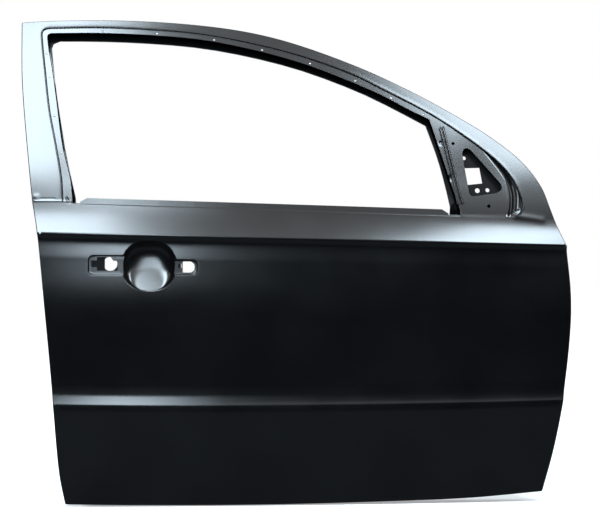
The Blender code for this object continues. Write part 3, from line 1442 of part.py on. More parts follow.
def guide_bracket(name, side, parts):
    """Angle from the back of a glass guide to the inner panel's face."""
    top, foot = guide_line(side)
    rows = []
    for up in (-1, 1):
        level = GUIDE_BRACKET_SHARE + up * BRACKET_LEG / 2 / (top[2] - foot[2])
        x, y, z = (blend(foot[k], top[k], level) for k in range(3))
        back = x + side * SEAT_GAP
        far = back + side * BRACKET_LEG
        face = min(inner_face_y(back, z), inner_face_y(far, z)) - SEAT_GAP
        rows.append([
            (back, y - GUIDE_WIDTH / 3, z), (back, face - SHELF_ROUND, z),
            (back + side * SHELF_ROUND, face, z), (far, face, z)])
    lofted_sheet(name, rows, (-side, 1, 0), HEAVY_SHEET, parts)


def clear_parts():
    for obj in list(bpy.data.objects):
        bpy.data.objects.remove(obj, do_unlink=True)


def build():
    clear_parts()
    parts = bpy.data.collections.new("car_door_shell")
    cutters = bpy.data.collections.new("cutters")
    bpy.context.scene.collection.children.link(parts)
    bpy.context.scene.collection.children.link(cutters)
    outer_panel(parts)
    inner_panel(parts, cutters)
    belt_reinforcement_outer(parts)
    belt_reinforcement_inner(parts)
    mirror_reinforcement(parts)
    front_run_channel(parts)
    handle_reinforcement(parts)
    for name, z in zip(("upper", "lower"), HINGE_HEIGHTS):
        hinge_reinforcement(name + "_hinge_reinforcement", z, parts, cutters)
        tapping_plate(name + "_hinge_tapping_plate", z, parts, cutters)
    check_link_reinforcement(parts, cutters)
    latch_reinforcement(parts, cutters)
    impact_beam(parts)
    beam_bracket("impact_beam_bracket_rear", -1, parts)
    beam_bracket("impact_beam_bracket_front", 1, parts)
    for number, share in enumerate(PAD_STATION_SHARES, 1):
        anti_flutter_pad(f"anti_flutter_pad_{number}", share, parts)
    glass_guide("rear_glass_guide", -1, parts)
    guide_bracket("rear_guide_bracket", -1, parts)
    glass_guide("front_glass_guide", 1, parts)
    guide_bracket("front_guide_bracket", 1, parts)


build()
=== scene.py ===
"""Looks of a bare front right car door shell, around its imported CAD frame.

+X points forward, +Y into the car and +Z up, in metres.
"""
import math

import bpy
import numpy as np
from mathutils import Matrix, Vector
from mathutils.geometry import delaunay_2d_cdt


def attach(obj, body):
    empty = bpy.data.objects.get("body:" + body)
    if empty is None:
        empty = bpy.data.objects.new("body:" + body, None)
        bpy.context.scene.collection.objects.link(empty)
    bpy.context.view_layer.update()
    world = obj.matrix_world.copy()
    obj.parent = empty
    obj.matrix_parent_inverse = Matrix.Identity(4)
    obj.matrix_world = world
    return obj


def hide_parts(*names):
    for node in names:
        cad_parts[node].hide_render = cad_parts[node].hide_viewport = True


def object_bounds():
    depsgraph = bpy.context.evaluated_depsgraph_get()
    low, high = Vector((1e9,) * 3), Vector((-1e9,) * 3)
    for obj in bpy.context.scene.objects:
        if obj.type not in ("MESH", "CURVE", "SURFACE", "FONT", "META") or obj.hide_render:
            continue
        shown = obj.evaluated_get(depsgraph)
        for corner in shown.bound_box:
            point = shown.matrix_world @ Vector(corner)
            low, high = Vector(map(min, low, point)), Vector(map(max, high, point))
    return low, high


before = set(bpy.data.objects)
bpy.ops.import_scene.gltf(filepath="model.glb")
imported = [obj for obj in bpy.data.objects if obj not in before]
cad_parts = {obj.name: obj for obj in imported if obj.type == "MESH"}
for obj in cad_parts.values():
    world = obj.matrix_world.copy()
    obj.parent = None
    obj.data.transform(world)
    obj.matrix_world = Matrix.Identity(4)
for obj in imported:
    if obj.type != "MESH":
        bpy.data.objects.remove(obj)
cad_box = [list(corner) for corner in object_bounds()]

# Overall sizes, as in the part's source
LENGTH = 1.182
HEIGHT = 1.046
REAR = 0.95262 * LENGTH
SILL = 0.46367 * HEIGHT
REACH = 0.082
SHEET = 0.0008
PLAN_CROWN, PLAN_APEX, PLAN_SPAN = 0.030, 0.41, 0.58
TUCK_IN = 0.040
FLUTE_DEPTH = 0.010
CREASE_INSET = 0.003
BELT_INSET = 0.028
FRAME_INSET, FRAME_BOW, FRAME_REACH = 0.100, 0.053, 0.400
CREASE_SLOPE = 0.55
LOWER_CREASE, LOWER_SAG = 0.20794 * HEIGHT, 0.0055
BELT_CREASE, BELT_CREASE_FALL = 0.54924 * HEIGHT, 0.02533 * HEIGHT
BELT, BELT_FALL = 0.61424 * HEIGHT, 0.03298 * HEIGHT

# Groove of the window frame, mirror corner and belt
RECESS_DEPTH, RECESS_WALL = 0.009, 0.0028
LIP_RISE, LIP_WIDTH, LIP_FADE = 0.0004, 0.0010, 0.02
HEADER_LIFT, HEADER_FROM, HEADER_SPAN = 0.0055, 0.20, 0.15
GROOVE_CORNER, WINDOW_CORNER = 0.019, 0.012
REBATE_DEPTH, REBATE_WALL = 0.0045, 0.016
SAIL_TURN, SAIL_FROM, SAIL_REACH, SAIL_SOFT = 0.040, -0.190, 0.11, 0.05
FOLD_TOP, FOLD_FADE = 0.66 * HEIGHT - SILL, 0.03
FOLD_DEPTH, FOLD_PITCH, FOLD_START = 0.0012, 0.0075, 0.003
BELT_ROLL, BELT_TURN = 0.0018, 0.0032
ROLL_ENDS, ROLL_TOP, ROLL_FADE = 0.004, 0.007, 0.005
SAIL_CLIP_BORE = 0.0075
WINDOW_FLANGE, FLANGE_ROUND = 0.018, 0.0015

# Section curves, as shares
LOW_SECTION = ((0.0, 1.0), (0.5, 0.43), (1.0, 0.100))
MID_SECTION = (
    (0.0, 0.40), (0.034, 0.76), (0.068, 1.0), (0.136, 1.1), (0.56, 0.0), (0.86, 0.62), (0.955, 1.0),
    (0.983, 0.86), (1.0, 0.30))

# Outlines, as shares of the length and of the height
REAR_EDGE = ((0.088, 0.003), (0.078, 0.067), (0.068, 0.207), (0.055, 0.38), (0.040, 0.549), (0.030, 0.613))
PILLAR = ((0.030, 0.613), (0.019, 0.719), (0.009, 0.819), (0.004, 0.884), (0.0, 0.994))
ROOF = (
    (0.0, 0.994), (0.056, 0.998), (0.172, 1.0), (0.293, 0.994), (0.405, 0.979), (0.5, 0.953), (0.621, 0.902),
    (0.717, 0.85), (0.796, 0.8), (0.863, 0.752), (0.919, 0.7), (0.952, 0.649), (0.968, 0.599), (0.973, 0.581))
FRONT_EDGE = ((0.952, 0.019), (0.970, 0.106), (0.986, 0.207), (0.996, 0.304), (1.0, 0.416), (0.993, 0.525))
FRONT_SHOULDER = ((0.993, 0.525), (0.984, 0.550), (0.973, 0.581))
SILL_LINE = ((0.952, 0.019), (0.816, 0.008), (0.689, 0.004), (0.445, 0.0), (0.203, 0.001), (0.088, 0.003))
GROOVE_PILLAR = ((0.080, 0.661), (0.068, 0.736), (0.056, 0.803), (0.045, 0.894), (0.040, 0.936))
GROOVE_ROOF = (
    (0.055, 0.9828), (0.145, 0.9848), (0.237, 0.9808), (0.329, 0.9718), (0.421, 0.9528), (0.514, 0.9258),
    (0.606, 0.8882), (0.661, 0.8570), (0.751, 0.8025), (0.805, 0.7625), (0.857, 0.7180), (0.886, 0.6860),
    (0.904, 0.6560), (0.915, 0.6240))
GROOVE_FOOT = ((0.917, 0.603), (0.912, 0.592))
WINDOW_PILLAR = (
    (0.100, 0.625), (0.096, 0.661), (0.081, 0.729), (0.067, 0.833), (0.058, 0.895), (0.051, 0.933))
WINDOW_ROOF = (
    (0.055, 0.9706), (0.145, 0.9716), (0.237, 0.9676), (0.329, 0.9586), (0.421, 0.9386), (0.514, 0.9096),
    (0.587, 0.8784), (0.660, 0.8420), (0.715, 0.8085), (0.750, 0.7890))
WINDOW_BAR = ((0.750, 0.789), (0.799, 0.600))
LEDGE_LINE = ((0.838, 0.736), (0.854, 0.710), (0.871, 0.684), (0.884, 0.660), (0.891, 0.630), (0.890, 0.606))
REBATE_OUTSIDE = ((0.885, 0.580), (0.945, 0.580), (0.960, 0.680), (0.860, 0.780))
MIRROR_HOLE = (
    (0.808, 0.718), (0.811, 0.726), (0.817, 0.729), (0.825, 0.724), (0.875, 0.657), (0.879, 0.650),
    (0.878, 0.641), (0.869, 0.634), (0.823, 0.627), (0.818, 0.632))
SAIL_CLIPS = ((0.792, 0.738), (0.853, 0.607))
BELT_CORNERS = (0.101, 0.799)
REAR_BELT_END, FRONT_BELT_END = 0.03, 0.973
GROOVE_BASES = (0.083, 0.900)
GROOVE_TURN = ((0.0355, 0.9818),)
WINDOW_TURN = ((0.0465, 0.9701),)
SAIL_FOOT = ((0.868, 0.600), (0.930, 0.665))

# Small folds and dimples: ends as shares, width, depth
PRESSED = (
    (((0.0435, 0.6195), (0.0690, 0.6195)), 0.0018, 0.0004),
    (((0.0345, 0.6148), (0.0980, 0.6148)), 0.0018, -0.0005),
    (((0.0360, 0.6235), (0.0385, 0.6245)), 0.0045, -0.0005),
    (((0.0900, 0.6215), (0.0960, 0.6120)), 0.0025, 0.0005),
    (((0.9020, 0.5865), (0.9500, 0.5790)), 0.0070, -0.0006),
    (((0.7691, 0.7390), (0.7700, 0.7370)), 0.0035, 0.0012),
    (((0.7846, 0.6662), (0.7852, 0.6640)), 0.0040, 0.0016))
PRESSED_FROM, PRESSED_TO = 0.56 * HEIGHT - SILL, 0.76 * HEIGHT - SILL

# Front rail and weld marks
RAIL_FOOT = ((-0.1861, 0.1537), (-0.1724, 0.1566))
RAIL_HEAD = ((-0.2209, 0.3232), (-0.2072, 0.3260))
RAIL_RIBS, RAIL_WALL = ((0.26, 0.22), (0.72, 0.22)), 0.17
RAIL_RISE, RAIL_GAP = 0.0034, 0.0003
RAIL_COUNT = (61, 33)
RAIL_SPREAD, RAIL_SPREAD_POWER, RAIL_SPREAD_FROM = 0.25, 12, 0.2
RAIL_END, RAIL_END_STEEP = 1.02, 14
WELD_RADIUS, WELD_STEPS, WELD_TILT = 0.0027, 16, 0.45
WELD_RINGS = (
    (1.0, -0.0002, 0.9), (0.85, 0.0003, 0.8), (0.6, 0.0009, 0.6), (0.3, 0.0012, 0.3), (0.02, 0.0013, 0.0))
WELD_SHARE = 0.35
HEADER_WELDS = (0.1499, 0.2498, 0.3554, 0.4442, 0.5326, 0.6155, 0.6813, 0.7395)
PILLAR_WELDS = (0.925, 0.8743, 0.7910, 0.7136)

# Handle cup and slots
BOWL_HALF = (0.0570, 0.0525)
BOWL_DEPTH, BOWL_SQUARE, BOWL_FLAT, BOWL_STEEP = 0.030, 2.25, 2.4, 0.8
BOWL_PLACE, BOWL_BELOW = 0.281, 0.0612
SCOOP_DEPTH, SCOOP_BLEND, SCOOP_LEAST, SCOOP_FOOT = 0.0255, 0.010, 0.0002, 0.5
SLOT_DEPTH, SLOT_WALL, SLOT_CORNER = 0.0055, 0.0030, 0.011
REAR_SLOT, FRONT_SLOT = (0.128, 0.0210, 0.0015), (0.102, 0.0165, -0.003)
HANDLE_REACH = (0.14, 0.07)
REAR_CUTOUT = (
    (-0.945, -0.10), (-0.945, 0.22), (-0.85, 0.22), (-0.85, 0.40), (-0.625, 0.40), (-0.590, 0.22),
    (-0.515, 0.20), (-0.515, -0.28), (-0.85, -0.28), (-0.85, -0.10))
FRONT_CUTOUT = (
    (0.69, -0.34), (0.69, 0.36), (0.86, 0.36), (0.925, 0.20), (0.935, 0.0), (0.925, -0.20), (0.86, -0.34))
FRONT_PILOT = ((0.595, -0.05), (0.595, 0.22), (0.665, 0.22), (0.665, -0.05))

# Hem
HEM_WIDTH, HEM_WIDTH_FRAME, HEM_CHANGE = 0.011, 0.009, 0.075
HEM_ROUND, HEM_STEPS, FLANGE_STEPS = 0.00175, 9, 6

# Steps and lines of the skin's layout
FINE = 0.005
NORMAL_STEP = 0.00004
ROW_COUNT, ROW_MARGIN, ROW_CLEARANCE = 240, 0.02, 0.0015
DENSE, OPEN_ROWS = 0.14, 0.9
HANDLE_BLANK = (0.136, 0.062)
EDGE_LINE = 0.006
GROOVE_LINES = (-0.0018, -0.0012, -0.0006, 0.0004, 0.0009, 0.0014, 0.0019, 0.0024, 0.0028, 0.0034, 0.0048)
LEDGE_LINES = (0.0, 0.002, 0.004, 0.006, 0.008)
WINDOW_LINE = 0.002
BELT_LINES = (0.0008, 0.0016, 0.0024, 0.0032, 0.0045)
BELT_LINE_ENDS = 0.004
OUTER_RINGS, INNER_RINGS = (1.03, 1.0, 0.985, 0.96, 0.92, 0.86, 0.78, 0.68, 0.56), (0.44, 0.32, 0.20, 0.08)
RING_STEPS = 96
SLOT_LINES, SLOT_GAP, SLOT_RIM = (0.0, 0.0007, 0.0015, 0.0023, 0.0030), 0.01, 1.02
HOLE_STEP, HOLE_CLEARANCE = 0.003, 0.0015
FRAME_FROM, FRAME_TO = (-REAR, 0.12), (0.06, 0.565)
FRAME_STEP, CORNER_STEP, HANDLE_STEP = 0.0055, 0.0016, 0.0045
BODY_CLEARANCE, GROOVE_CLEARANCE, LEDGE_CLEARANCE = 0.003, 0.006, 0.0045
PRESSED_REACH, PRESSED_STEP = 3, 0.45
HANDLE_FIELD, BOWL_CLEARANCE, CREASE_CLEARANCE = (0.140, 0.066), 1.05, 0.008
SLOT_INSIDE, SLOT_OUTSIDE = 0.0042, 0.0015
MIRROR_ROUND, CUTOUT_ROUNDS, CLIP_STEPS = 0.003, (0.0018, 0.002, 0.001), 20
ROW_RISE = 0.866
NEAR_EDGE, NEAR_WINDOW, FLANGE_FROM = 0.004, 0.003, 0.0035

# Coats
SPOTS_FINER, GRAIN_FINER = 22, 90
SPOTS_ROUGHER, GRAIN_DEPTH = 0.012, 0.0002
WORN, WORN_EDGE = 1.5, 1.8
# Reinforcements given a darker, duller copy of the primer: painted shade for parts that sit in shadow inside
# the door.
PAINTED_SHADE_PARTS = (
    "mirror_reinforcement", "handle_reinforcement", "latch_reinforcement", "check_link_reinforcement",
    "belt_reinforcement_inner", "upper_hinge_reinforcement", "lower_hinge_reinforcement")

# Set
FLOOR_LIFT, FLOOR_FROM, FLOOR_TO = (0.35, 0.95), 1.2, 4.5
FLOOR_HALF, FLOOR_GAP = 30.0, 0.002
CLOTH_RADIUS, CLOTH_TOP, CLOTH_STEPS, CLOTH_GAP = 4.6, 2.4, 32, 0.001
CLOTH_SHADE, FOOT_SHADE = 0.012, 0.07
FOOT_HALF, FOOT_REACH = 3.0, 0.85
WORLD_LIGHT = (0.25, 1.0)
MIDDLE = -0.53
CAMERA_AIM, CAMERA_TURN, CAMERA_AWAY = (-0.529, -0.082, 0.0267), 4.0, 3.6
SENSOR, VIEW_WIDTH = 36.0, 1.26
COOL = (0.74, 0.89, 1.0)
LAMPS = (
    ("left_low", (-1.12, -2.60, 0.53), (-1.15, -2.15, 1.55), (-0.9, 0, 0.0), 0.46, 21),
    ("left_high", (-1.52, -2.10, 1.60), (-1.40, -0.95, 3.10), (-1.0, 0, 0.3), 0.78, 108),
    ("right_high", (0.88, -1.63, 1.63), (0.46, -1.05, 2.60), (-0.1, 0, 0.3), 0.72, 62),
    ("back_left", (-2.6, 2.3, 1.2), (-2.1, 1.5, 2.5), (-0.5, 0, 0.0), 1.1, 60),
    ("back_right", (1.3, 2.0, 0.8), (1.0, 1.4, 2.0), (-0.4, 0, 0.0), 0.7, 30))


def ramp(value):
    """Soft step from 0 to 1."""
    value = np.clip(value, 0.0, 1.0)
    return value * value * (3 - 2 * value)


def knots(table, place):
    """Smooth curve through (place, value) knots, for arrays."""
    table = np.array(table, float)
    at, value = table[:, 0], table[:, 1]
    last = len(at) - 1
    before, after = np.maximum(np.arange(last + 1) - 1, 0), np.minimum(np.arange(last + 1) + 1, last)
    slope = (value[after] - value[before]) / (at[after] - at[before])
    place = np.clip(place, at[0], at[-1])
    k = np.clip(np.searchsorted(at, place, side="left") - 1, 0, last - 1)
    span = at[k + 1] - at[k]
    s = (place - at[k]) / span
    return (
        value[k] * (1 + 2 * s) * (1 - s) ** 2 + value[k + 1] * s * s * (3 - 2 * s)
        + span * slope[k] * s * (1 - s) ** 2 + span * slope[k + 1] * s * s * (s - 1))


def places(table):
    """World x and z of a table of shares."""
    return np.array(table, float) * (LENGTH, HEIGHT) - (REAR, SILL)


def smooth_line(points, spacing):
    """Evenly spaced points along the smooth curve through some points."""
    points = np.array(points, float)
    travel = np.concatenate([[0.0], np.cumsum(np.hypot(*np.diff(points, axis=0).T))])
    count = max(int(math.ceil(travel[-1] / spacing)), 1)
    steps = np.linspace(0, travel[-1], count + 1)
    return np.stack([knots(np.stack([travel, points[:, i]], 1), steps) for i in (0, 1)], 1)


def share_of(x):
    """How far along the door a place lies."""
    return (x + REAR) / LENGTH


def lower_z(x):
    """Height of the lower crease."""
    bow = 2 * share_of(x) - 1
    return LOWER_CREASE - SILL - LOWER_SAG * (1 - bow * bow)


def crease_z(x):
    """Height of the belt crease."""
    return BELT_CREASE - SILL - BELT_CREASE_FALL * share_of(x)


def belt_z(x):
    """Height of the belt edge."""
    return BELT - SILL - BELT_FALL * share_of(x)


def sill_z(x):
    """Height of the door's lower edge."""
    return knots(sorted(map(tuple, places(SILL_LINE))), x)


def section(x, z):
    """Depth of the door's upright section behind its outermost line."""
    belt, crease, lower = belt_z(x), crease_z(x), lower_z(x)
    rise = (z - belt) / FRAME_REACH
    above = BELT_INSET + FRAME_INSET * rise + FRAME_BOW * rise * rise
    span = belt - crease
    s = (z - crease) / span
    shoulder = (
        CREASE_INSET * (1 + 2 * s) * (1 - s) ** 2 + BELT_INSET * s * s * (3 - 2 * s)
        + CREASE_SLOPE * span * s * (1 - s) ** 2 + FRAME_INSET / FRAME_REACH * span * s * s * (s - 1))
    middle = FLUTE_DEPTH * knots(MID_SECTION, (z - lower) / (crease - lower))
    low = TUCK_IN * knots(LOW_SECTION, (z + SILL) / (lower + SILL))
    return np.where(z >= belt, above, np.where(z >= crease, shoulder, np.where(z >= lower, middle, low)))


def skin_y(x, z):
    """Outer face of the plain skin."""
    bow = (share_of(x) - PLAN_APEX) / PLAN_SPAN
    return PLAN_CROWN * bow * bow + section(x, z) - REACH


def inside(loop, x, z):
    """Which points lie inside a closed loop."""
    hit = np.zeros(np.shape(x), bool)
    for (ax, az), (bx, bz) in zip(loop, np.roll(loop, -1, axis=0)):
        if az == bz:
            continue
        crossed = ((az > z) != (bz > z)) & (x < ax + (z - az) * (bx - ax) / (bz - az))
        hit ^= crossed
    return hit


def distance_to(line, x, z, closed=True):
    """Distance from points to a line."""
    ends = np.roll(line, -1, axis=0) if closed else line[1:]
    nearest = np.full(np.shape(x), 10.0)
    for (ax, az), (bx, bz) in zip(line, ends):
        dx, dz = bx - ax, bz - az
        size = dx * dx + dz * dz
        if not size:
            continue
        s = np.clip(((x - ax) * dx + (z - az) * dz) / size, 0, 1)
        nearest = np.minimum(nearest, np.hypot(x - ax - s * dx, z - az - s * dz))
    return nearest


def inside_distance(loop, x, z):
    """Distance to a loop for the points inside it, else 0."""
    return np.where(inside(loop, x, z), distance_to(loop, x, z), 0.0)


def offset(points, distance, closed):
    """Line moved to its right."""
    points = np.array(points, float)
    if closed:
        before, after = np.roll(points, 1, axis=0), np.roll(points, -1, axis=0)
    else:
        before = np.vstack([2 * points[:1] - points[1:2], points[:-1]])
        after = np.vstack([points[1:], 2 * points[-1:] - points[-2:-1]])
    a, b = points - before, after - points
    a /= np.maximum(np.hypot(*a.T), 1e-9)[:, None]
    b /= np.maximum(np.hypot(*b.T), 1e-9)[:, None]
    na, nb = np.stack([a[:, 1], -a[:, 0]], 1), np.stack([b[:, 1], -b[:, 0]], 1)
    middle = na + nb
    middle /= np.maximum(np.hypot(*middle.T), 1e-9)[:, None]
    reach = distance / np.maximum((middle * na).sum(1), 0.5)
    return points + middle * reach[:, None]


def belt_run(first, last, spacing):
    """Points along the belt between two shares of the length."""
    x = places([(first, 0), (last, 0)])[:, 0]
    count = max(int(abs(x[1] - x[0]) / spacing), 1)
    x = np.linspace(x[0], x[1], count + 1)
    return np.stack([x, belt_z(x)], 1)


def door_edge():
    """Outline of the door, clockwise seen from outside, from the rear end of the sill."""
    ends = []
    for table in (REAR_EDGE, FRONT_EDGE):
        flipped = sorted((z, x) for x, z in map(tuple, places(table)))
        ends.append(flipped)
    shoulder = sorted((z, x) for x, z in map(tuple, places(FRONT_SHOULDER)))
    rear_x = -REAR + REAR_BELT_END * LENGTH
    rear_belt = belt_z(rear_x)
    z = np.arange(places(REAR_EDGE[:1])[0, 1], rear_belt, FINE)
    rear = np.stack([knots(ends[0], z), z], 1)
    rear_point = (knots(ends[0], rear_belt), rear_belt)
    pillar = smooth_line([rear_point] + [tuple(p) for p in places(PILLAR[1:])], FINE)
    front_x = -REAR + FRONT_BELT_END * LENGTH
    front_belt = belt_z(front_x)
    front_point = (float(knots(shoulder, front_belt)), float(front_belt))
    roof = smooth_line([tuple(p) for p in places(ROOF[:-1])] + [front_point], FINE)
    corner = places(FRONT_EDGE[-1:])[0, 1]
    z = np.linspace(front_belt, corner, 10)[1:-1]
    upper = np.stack([knots(shoulder, z), z], 1)
    z = np.arange(corner, places(FRONT_EDGE[:1])[0, 1], -FINE)
    front = np.stack([knots(ends[1], z), z], 1)
    sill = smooth_line(places(SILL_LINE), FINE)
    return np.vstack([rear, pillar[:-1], roof[:-1], [front_point], upper, front, sill[:-1]])


EDGE = door_edge()


def loop_points(*runs):
    """One list of points from several runs."""
    return np.vstack([np.array(run, float).reshape(-1, 2) for run in runs])


def arc_corner(before, corner, after, radius, steps=6):
    """Round corner between two points."""
    corner = np.array(corner, float)
    a, b = np.array(before, float) - corner, np.array(after, float) - corner
    a, b = a / np.hypot(*a), b / np.hypot(*b)
    start, end = corner + a * radius, corner + b * radius
    t = np.linspace(0, 1, steps + 1)[:, None]
    return (1 - t) ** 2 * start + 2 * t * (1 - t) * corner + t * t * end


def groove_line():
    """Outer edge of the frame's groove, from belt to belt."""
    rear, front = (belt_run(base, base, 1)[0] for base in GROOVE_BASES)
    pillar = smooth_line([tuple(rear)] + [tuple(p) for p in places(GROOVE_PILLAR)], FINE)
    roof = smooth_line(places(GROOVE_ROOF), FINE)
    bend = arc_corner(pillar[-1], places(GROOVE_TURN)[0], roof[0], GROOVE_CORNER)
    return loop_points(pillar, bend, roof, places(GROOVE_FOOT), front)


def window_line():
    """Edge of the window opening, with the belt as its sill."""
    rear, front = (belt_run(corner, corner, 1)[0] for corner in BELT_CORNERS)
    pillar = smooth_line(places(WINDOW_PILLAR), FINE)
    roof = smooth_line(places(WINDOW_ROOF), FINE)
    bar = smooth_line(places(WINDOW_BAR), FINE)
    bend = arc_corner(pillar[-1], places(WINDOW_TURN)[0], roof[0], WINDOW_CORNER)
    sill = belt_run(BELT_CORNERS[1], BELT_CORNERS[0], FINE)
    return loop_points(rear, pillar, bend, roof, bar[1:], front, sill[1:-1])


GROOVE = groove_line()
WINDOW = window_line()
LEDGE = smooth_line(places(LEDGE_LINE), FINE)
REBATE = loop_points(LEDGE, places(REBATE_OUTSIDE))
BOWL_X = BOWL_PLACE - REAR
BOWL = np.array([BOWL_X, crease_z(BOWL_X) - BOWL_BELOW])


def slot_sizes(side):
    """Reach, half height and middle of the rear slot, for side -1, or of the front one."""
    if side < 0:
        return REAR_SLOT[0], REAR_SLOT[1], BOWL[1] + REAR_SLOT[2]
    return FRONT_SLOT[0], FRONT_SLOT[1], BOWL[1] + FRONT_SLOT[2]


def slot_loop(side, inward, steps=8):
    """Outline of a slot beside the cup, moved inward."""
    reach, half, middle = slot_sizes(side)
    reach, half = reach - inward, half - inward
    corner = max(SLOT_CORNER - inward, SLOT_WALL)
    points = [(BOWL[0], middle + half)]
    for low in (0, 1):
        for step in range(steps):
            angle = math.pi / 2 * (step / (steps - 1) + low)
            points.append((
                BOWL[0] + side * (reach - corner + corner * math.sin(angle)),
                middle + (half - corner) * (1 if not low else -1) + corner * math.cos(angle)))
    points.append((BOWL[0], middle - half))
    return np.array(points)


SLOTS = {side: slot_loop(side, 0.0) for side in (-1, 1)}


def bowl_share(x, z):
    """How far out in the handle cup a point lies: 1 on its rim."""
    across = np.abs((x - BOWL[0]) / BOWL_HALF[0]) ** BOWL_SQUARE
    up = np.abs((z - BOWL[1]) / BOWL_HALF[1]) ** BOWL_SQUARE
    return (across + up) ** (1 / BOWL_SQUARE)


def bowl_ring(share, steps):
    """Ring round the cup at a share of its size."""
    angle = np.linspace(0, 2 * math.pi, steps, endpoint=False)
    across, up = np.cos(angle), np.sin(angle)
    power = 2 / BOWL_SQUARE
    return np.stack([
        BOWL[0] + share * BOWL_HALF[0] * np.sign(across) * np.abs(across) ** power,
        BOWL[1] + share * BOWL_HALF[1] * np.sign(up) * np.abs(up) ** power], 1)


def handle_depth(x, z):
    """Depth of the handle cup and its slots."""
    share = np.minimum(bowl_share(x, z), 1.0)
    wall = BOWL_DEPTH * (1 - share ** BOWL_FLAT) ** BOWL_STEEP
    height = np.clip((z - BOWL[1]) / BOWL_HALF[1], -1, SCOOP_FOOT)
    floor = SCOOP_DEPTH * (1 - ((SCOOP_FOOT - height) / (1 + SCOOP_FOOT)) ** 2)
    reach = SCOOP_BLEND * (1 - share ** 3) + SCOOP_LEAST
    blend = np.clip(0.5 + 0.5 * (floor - wall) / reach, 0, 1)
    depth = floor + (wall - floor) * blend - reach * blend * (1 - blend)
    depth = np.maximum(depth, 0.0)
    for loop in SLOTS.values():
        depth = np.maximum(depth, SLOT_DEPTH * ramp(inside_distance(loop, x, z) / SLOT_WALL))
    return depth


def header_lift(z):
    """How much shallower the groove is towards the header."""
    return HEADER_LIFT * ramp((z - HEADER_FROM) / HEADER_SPAN)


def frame_recess(x, z):
    """Depth of everything inside the frame's groove."""
    depth = ramp(inside_distance(GROOVE, x, z) / RECESS_WALL)
    within = inside_distance(REBATE, x, z)
    rebate = REBATE_DEPTH * ramp(within / REBATE_WALL)
    low = ramp((FOLD_TOP - z) / FOLD_FADE) * ramp(within / FOLD_START)
    folds = FOLD_DEPTH * low * (0.5 - 0.5 * np.cos(2 * math.pi * within / FOLD_PITCH))
    past = np.clip(x - SAIL_FROM, 0, SAIL_REACH)
    turn = SAIL_TURN * np.where(past < SAIL_SOFT, past * past / (2 * SAIL_SOFT), past - SAIL_SOFT / 2)
    beside = distance_to(GROOVE, x, z, closed=False)
    lip = LIP_RISE * np.exp(-(beside / LIP_WIDTH) ** 2) * ramp((z - belt_z(x)) / LIP_FADE)
    return depth * (RECESS_DEPTH - header_lift(z) + rebate + folds - turn) - lip


def pressed_lines(x, z):
    """Small folds and dimples beside the belt, deeper into the door."""
    depth = np.zeros(np.shape(x))
    for ends, width, deep in PRESSED:
        near = distance_to(places(ends), x, z, closed=False)
        depth += deep * np.exp(-(near / width) ** 2)
    rear, front = places([(BELT_CORNERS[0], 0), (BELT_CORNERS[1], 0)])[:, 0]
    span = ramp((x - rear) / ROLL_ENDS) * ramp((front - x) / ROLL_ENDS)
    above = z - belt_z(x)
    roll = BELT_ROLL * span * ramp((above + BELT_TURN) / BELT_TURN)
    return depth + roll * ramp((ROLL_TOP - above) / ROLL_FADE)


def outer_y(x, z):
    """Outer face of the skin with its recesses."""
    x, z = np.asarray(x, float), np.asarray(z, float)
    y = skin_y(x, z)
    low = z < crease_z(x)
    near = low & (np.abs(x - BOWL[0]) < HANDLE_REACH[0]) & (np.abs(z - BOWL[1]) < HANDLE_REACH[1])
    if near.any():
        y[near] += handle_depth(x[near], z[near])
    high = z > belt_z(x)
    if high.any():
        y[high] += frame_recess(x[high], z[high])
    near = (z > PRESSED_FROM) & (z < PRESSED_TO)
    if near.any():
        y[near] += pressed_lines(x[near], z[near])
    return y


def face_normals(x, z, depth, step=NORMAL_STEP):
    """Unit normals of a face y = depth(x, z), towards the outside."""
    along = (depth(x + step, z) - depth(x - step, z)) / (2 * step)
    up = (depth(x, z + step) - depth(x, z - step)) / (2 * step)
    normal = np.stack([along, -np.ones_like(along), up], 1)
    return normal / np.linalg.norm(normal, axis=1)[:, None]


def fill_layout(lines, loose, outer, holes):
    """Triangles over the inside of a loop, less its holes, with some lines kept as edges."""
    points, edges = [], []
    for line, closed in lines:
        start, count = len(points), len(line)
        points += [tuple(p) for p in line]
        edges += [(start + k, start + k + 1) for k in range(count - 1)]
        if closed:
            edges.append((start + count - 1, start))
    points += [tuple(p) for p in loose]
    found = delaunay_2d_cdt([Vector(p) for p in points], edges, [], 0, 1e-5)
    verts = np.array([tuple(v) for v in found[0]])
    faces = np.array([f for f in found[2] if len(f) == 3])
    centre = verts[faces].mean(1)
    keep = inside(outer, centre[:, 0], centre[:, 1])
    for hole in holes:
        keep &= ~inside(hole, centre[:, 0], centre[:, 1])
    faces = faces[keep]
    used, faces = np.unique(faces, return_inverse=True)
    faces = faces.reshape(-1, 3)
    verts = verts[used]
    a, b, c = (verts[faces[:, i]] for i in range(3))
    turn = (b[:, 0] - a[:, 0]) * (c[:, 1] - a[:, 1]) - (b[:, 1] - a[:, 1]) * (c[:, 0] - a[:, 0])
    faces[turn < 0] = faces[turn < 0][:, ::-1]
    return verts, faces


def near_points(low, high, spacing):
    """Staggered grid of points over a box."""
    points = []
    rows = np.arange(low[1], high[1], spacing * ROW_RISE)
    for k, z in enumerate(rows):
        x = np.arange(low[0] + (k % 2) * spacing / 2, high[0], spacing)
        points.append(np.stack([x, np.full_like(x, z)], 1))
    return np.vstack(points)


def mesh_object(name, verts, faces, normals=None):
    """Object from arrays, with its own normals where they are given."""
    mesh = bpy.data.meshes.new(name)
    mesh.from_pydata([tuple(v) for v in verts], [], [tuple(int(i) for i in f) for f in faces])
    mesh.update()
    mesh.shade_smooth()
    if normals is not None:
        mesh.normals_split_custom_set_from_vertices([tuple(n) for n in normals])
    obj = bpy.data.objects.new(name, mesh)
    bpy.context.scene.collection.objects.link(obj)
    return obj


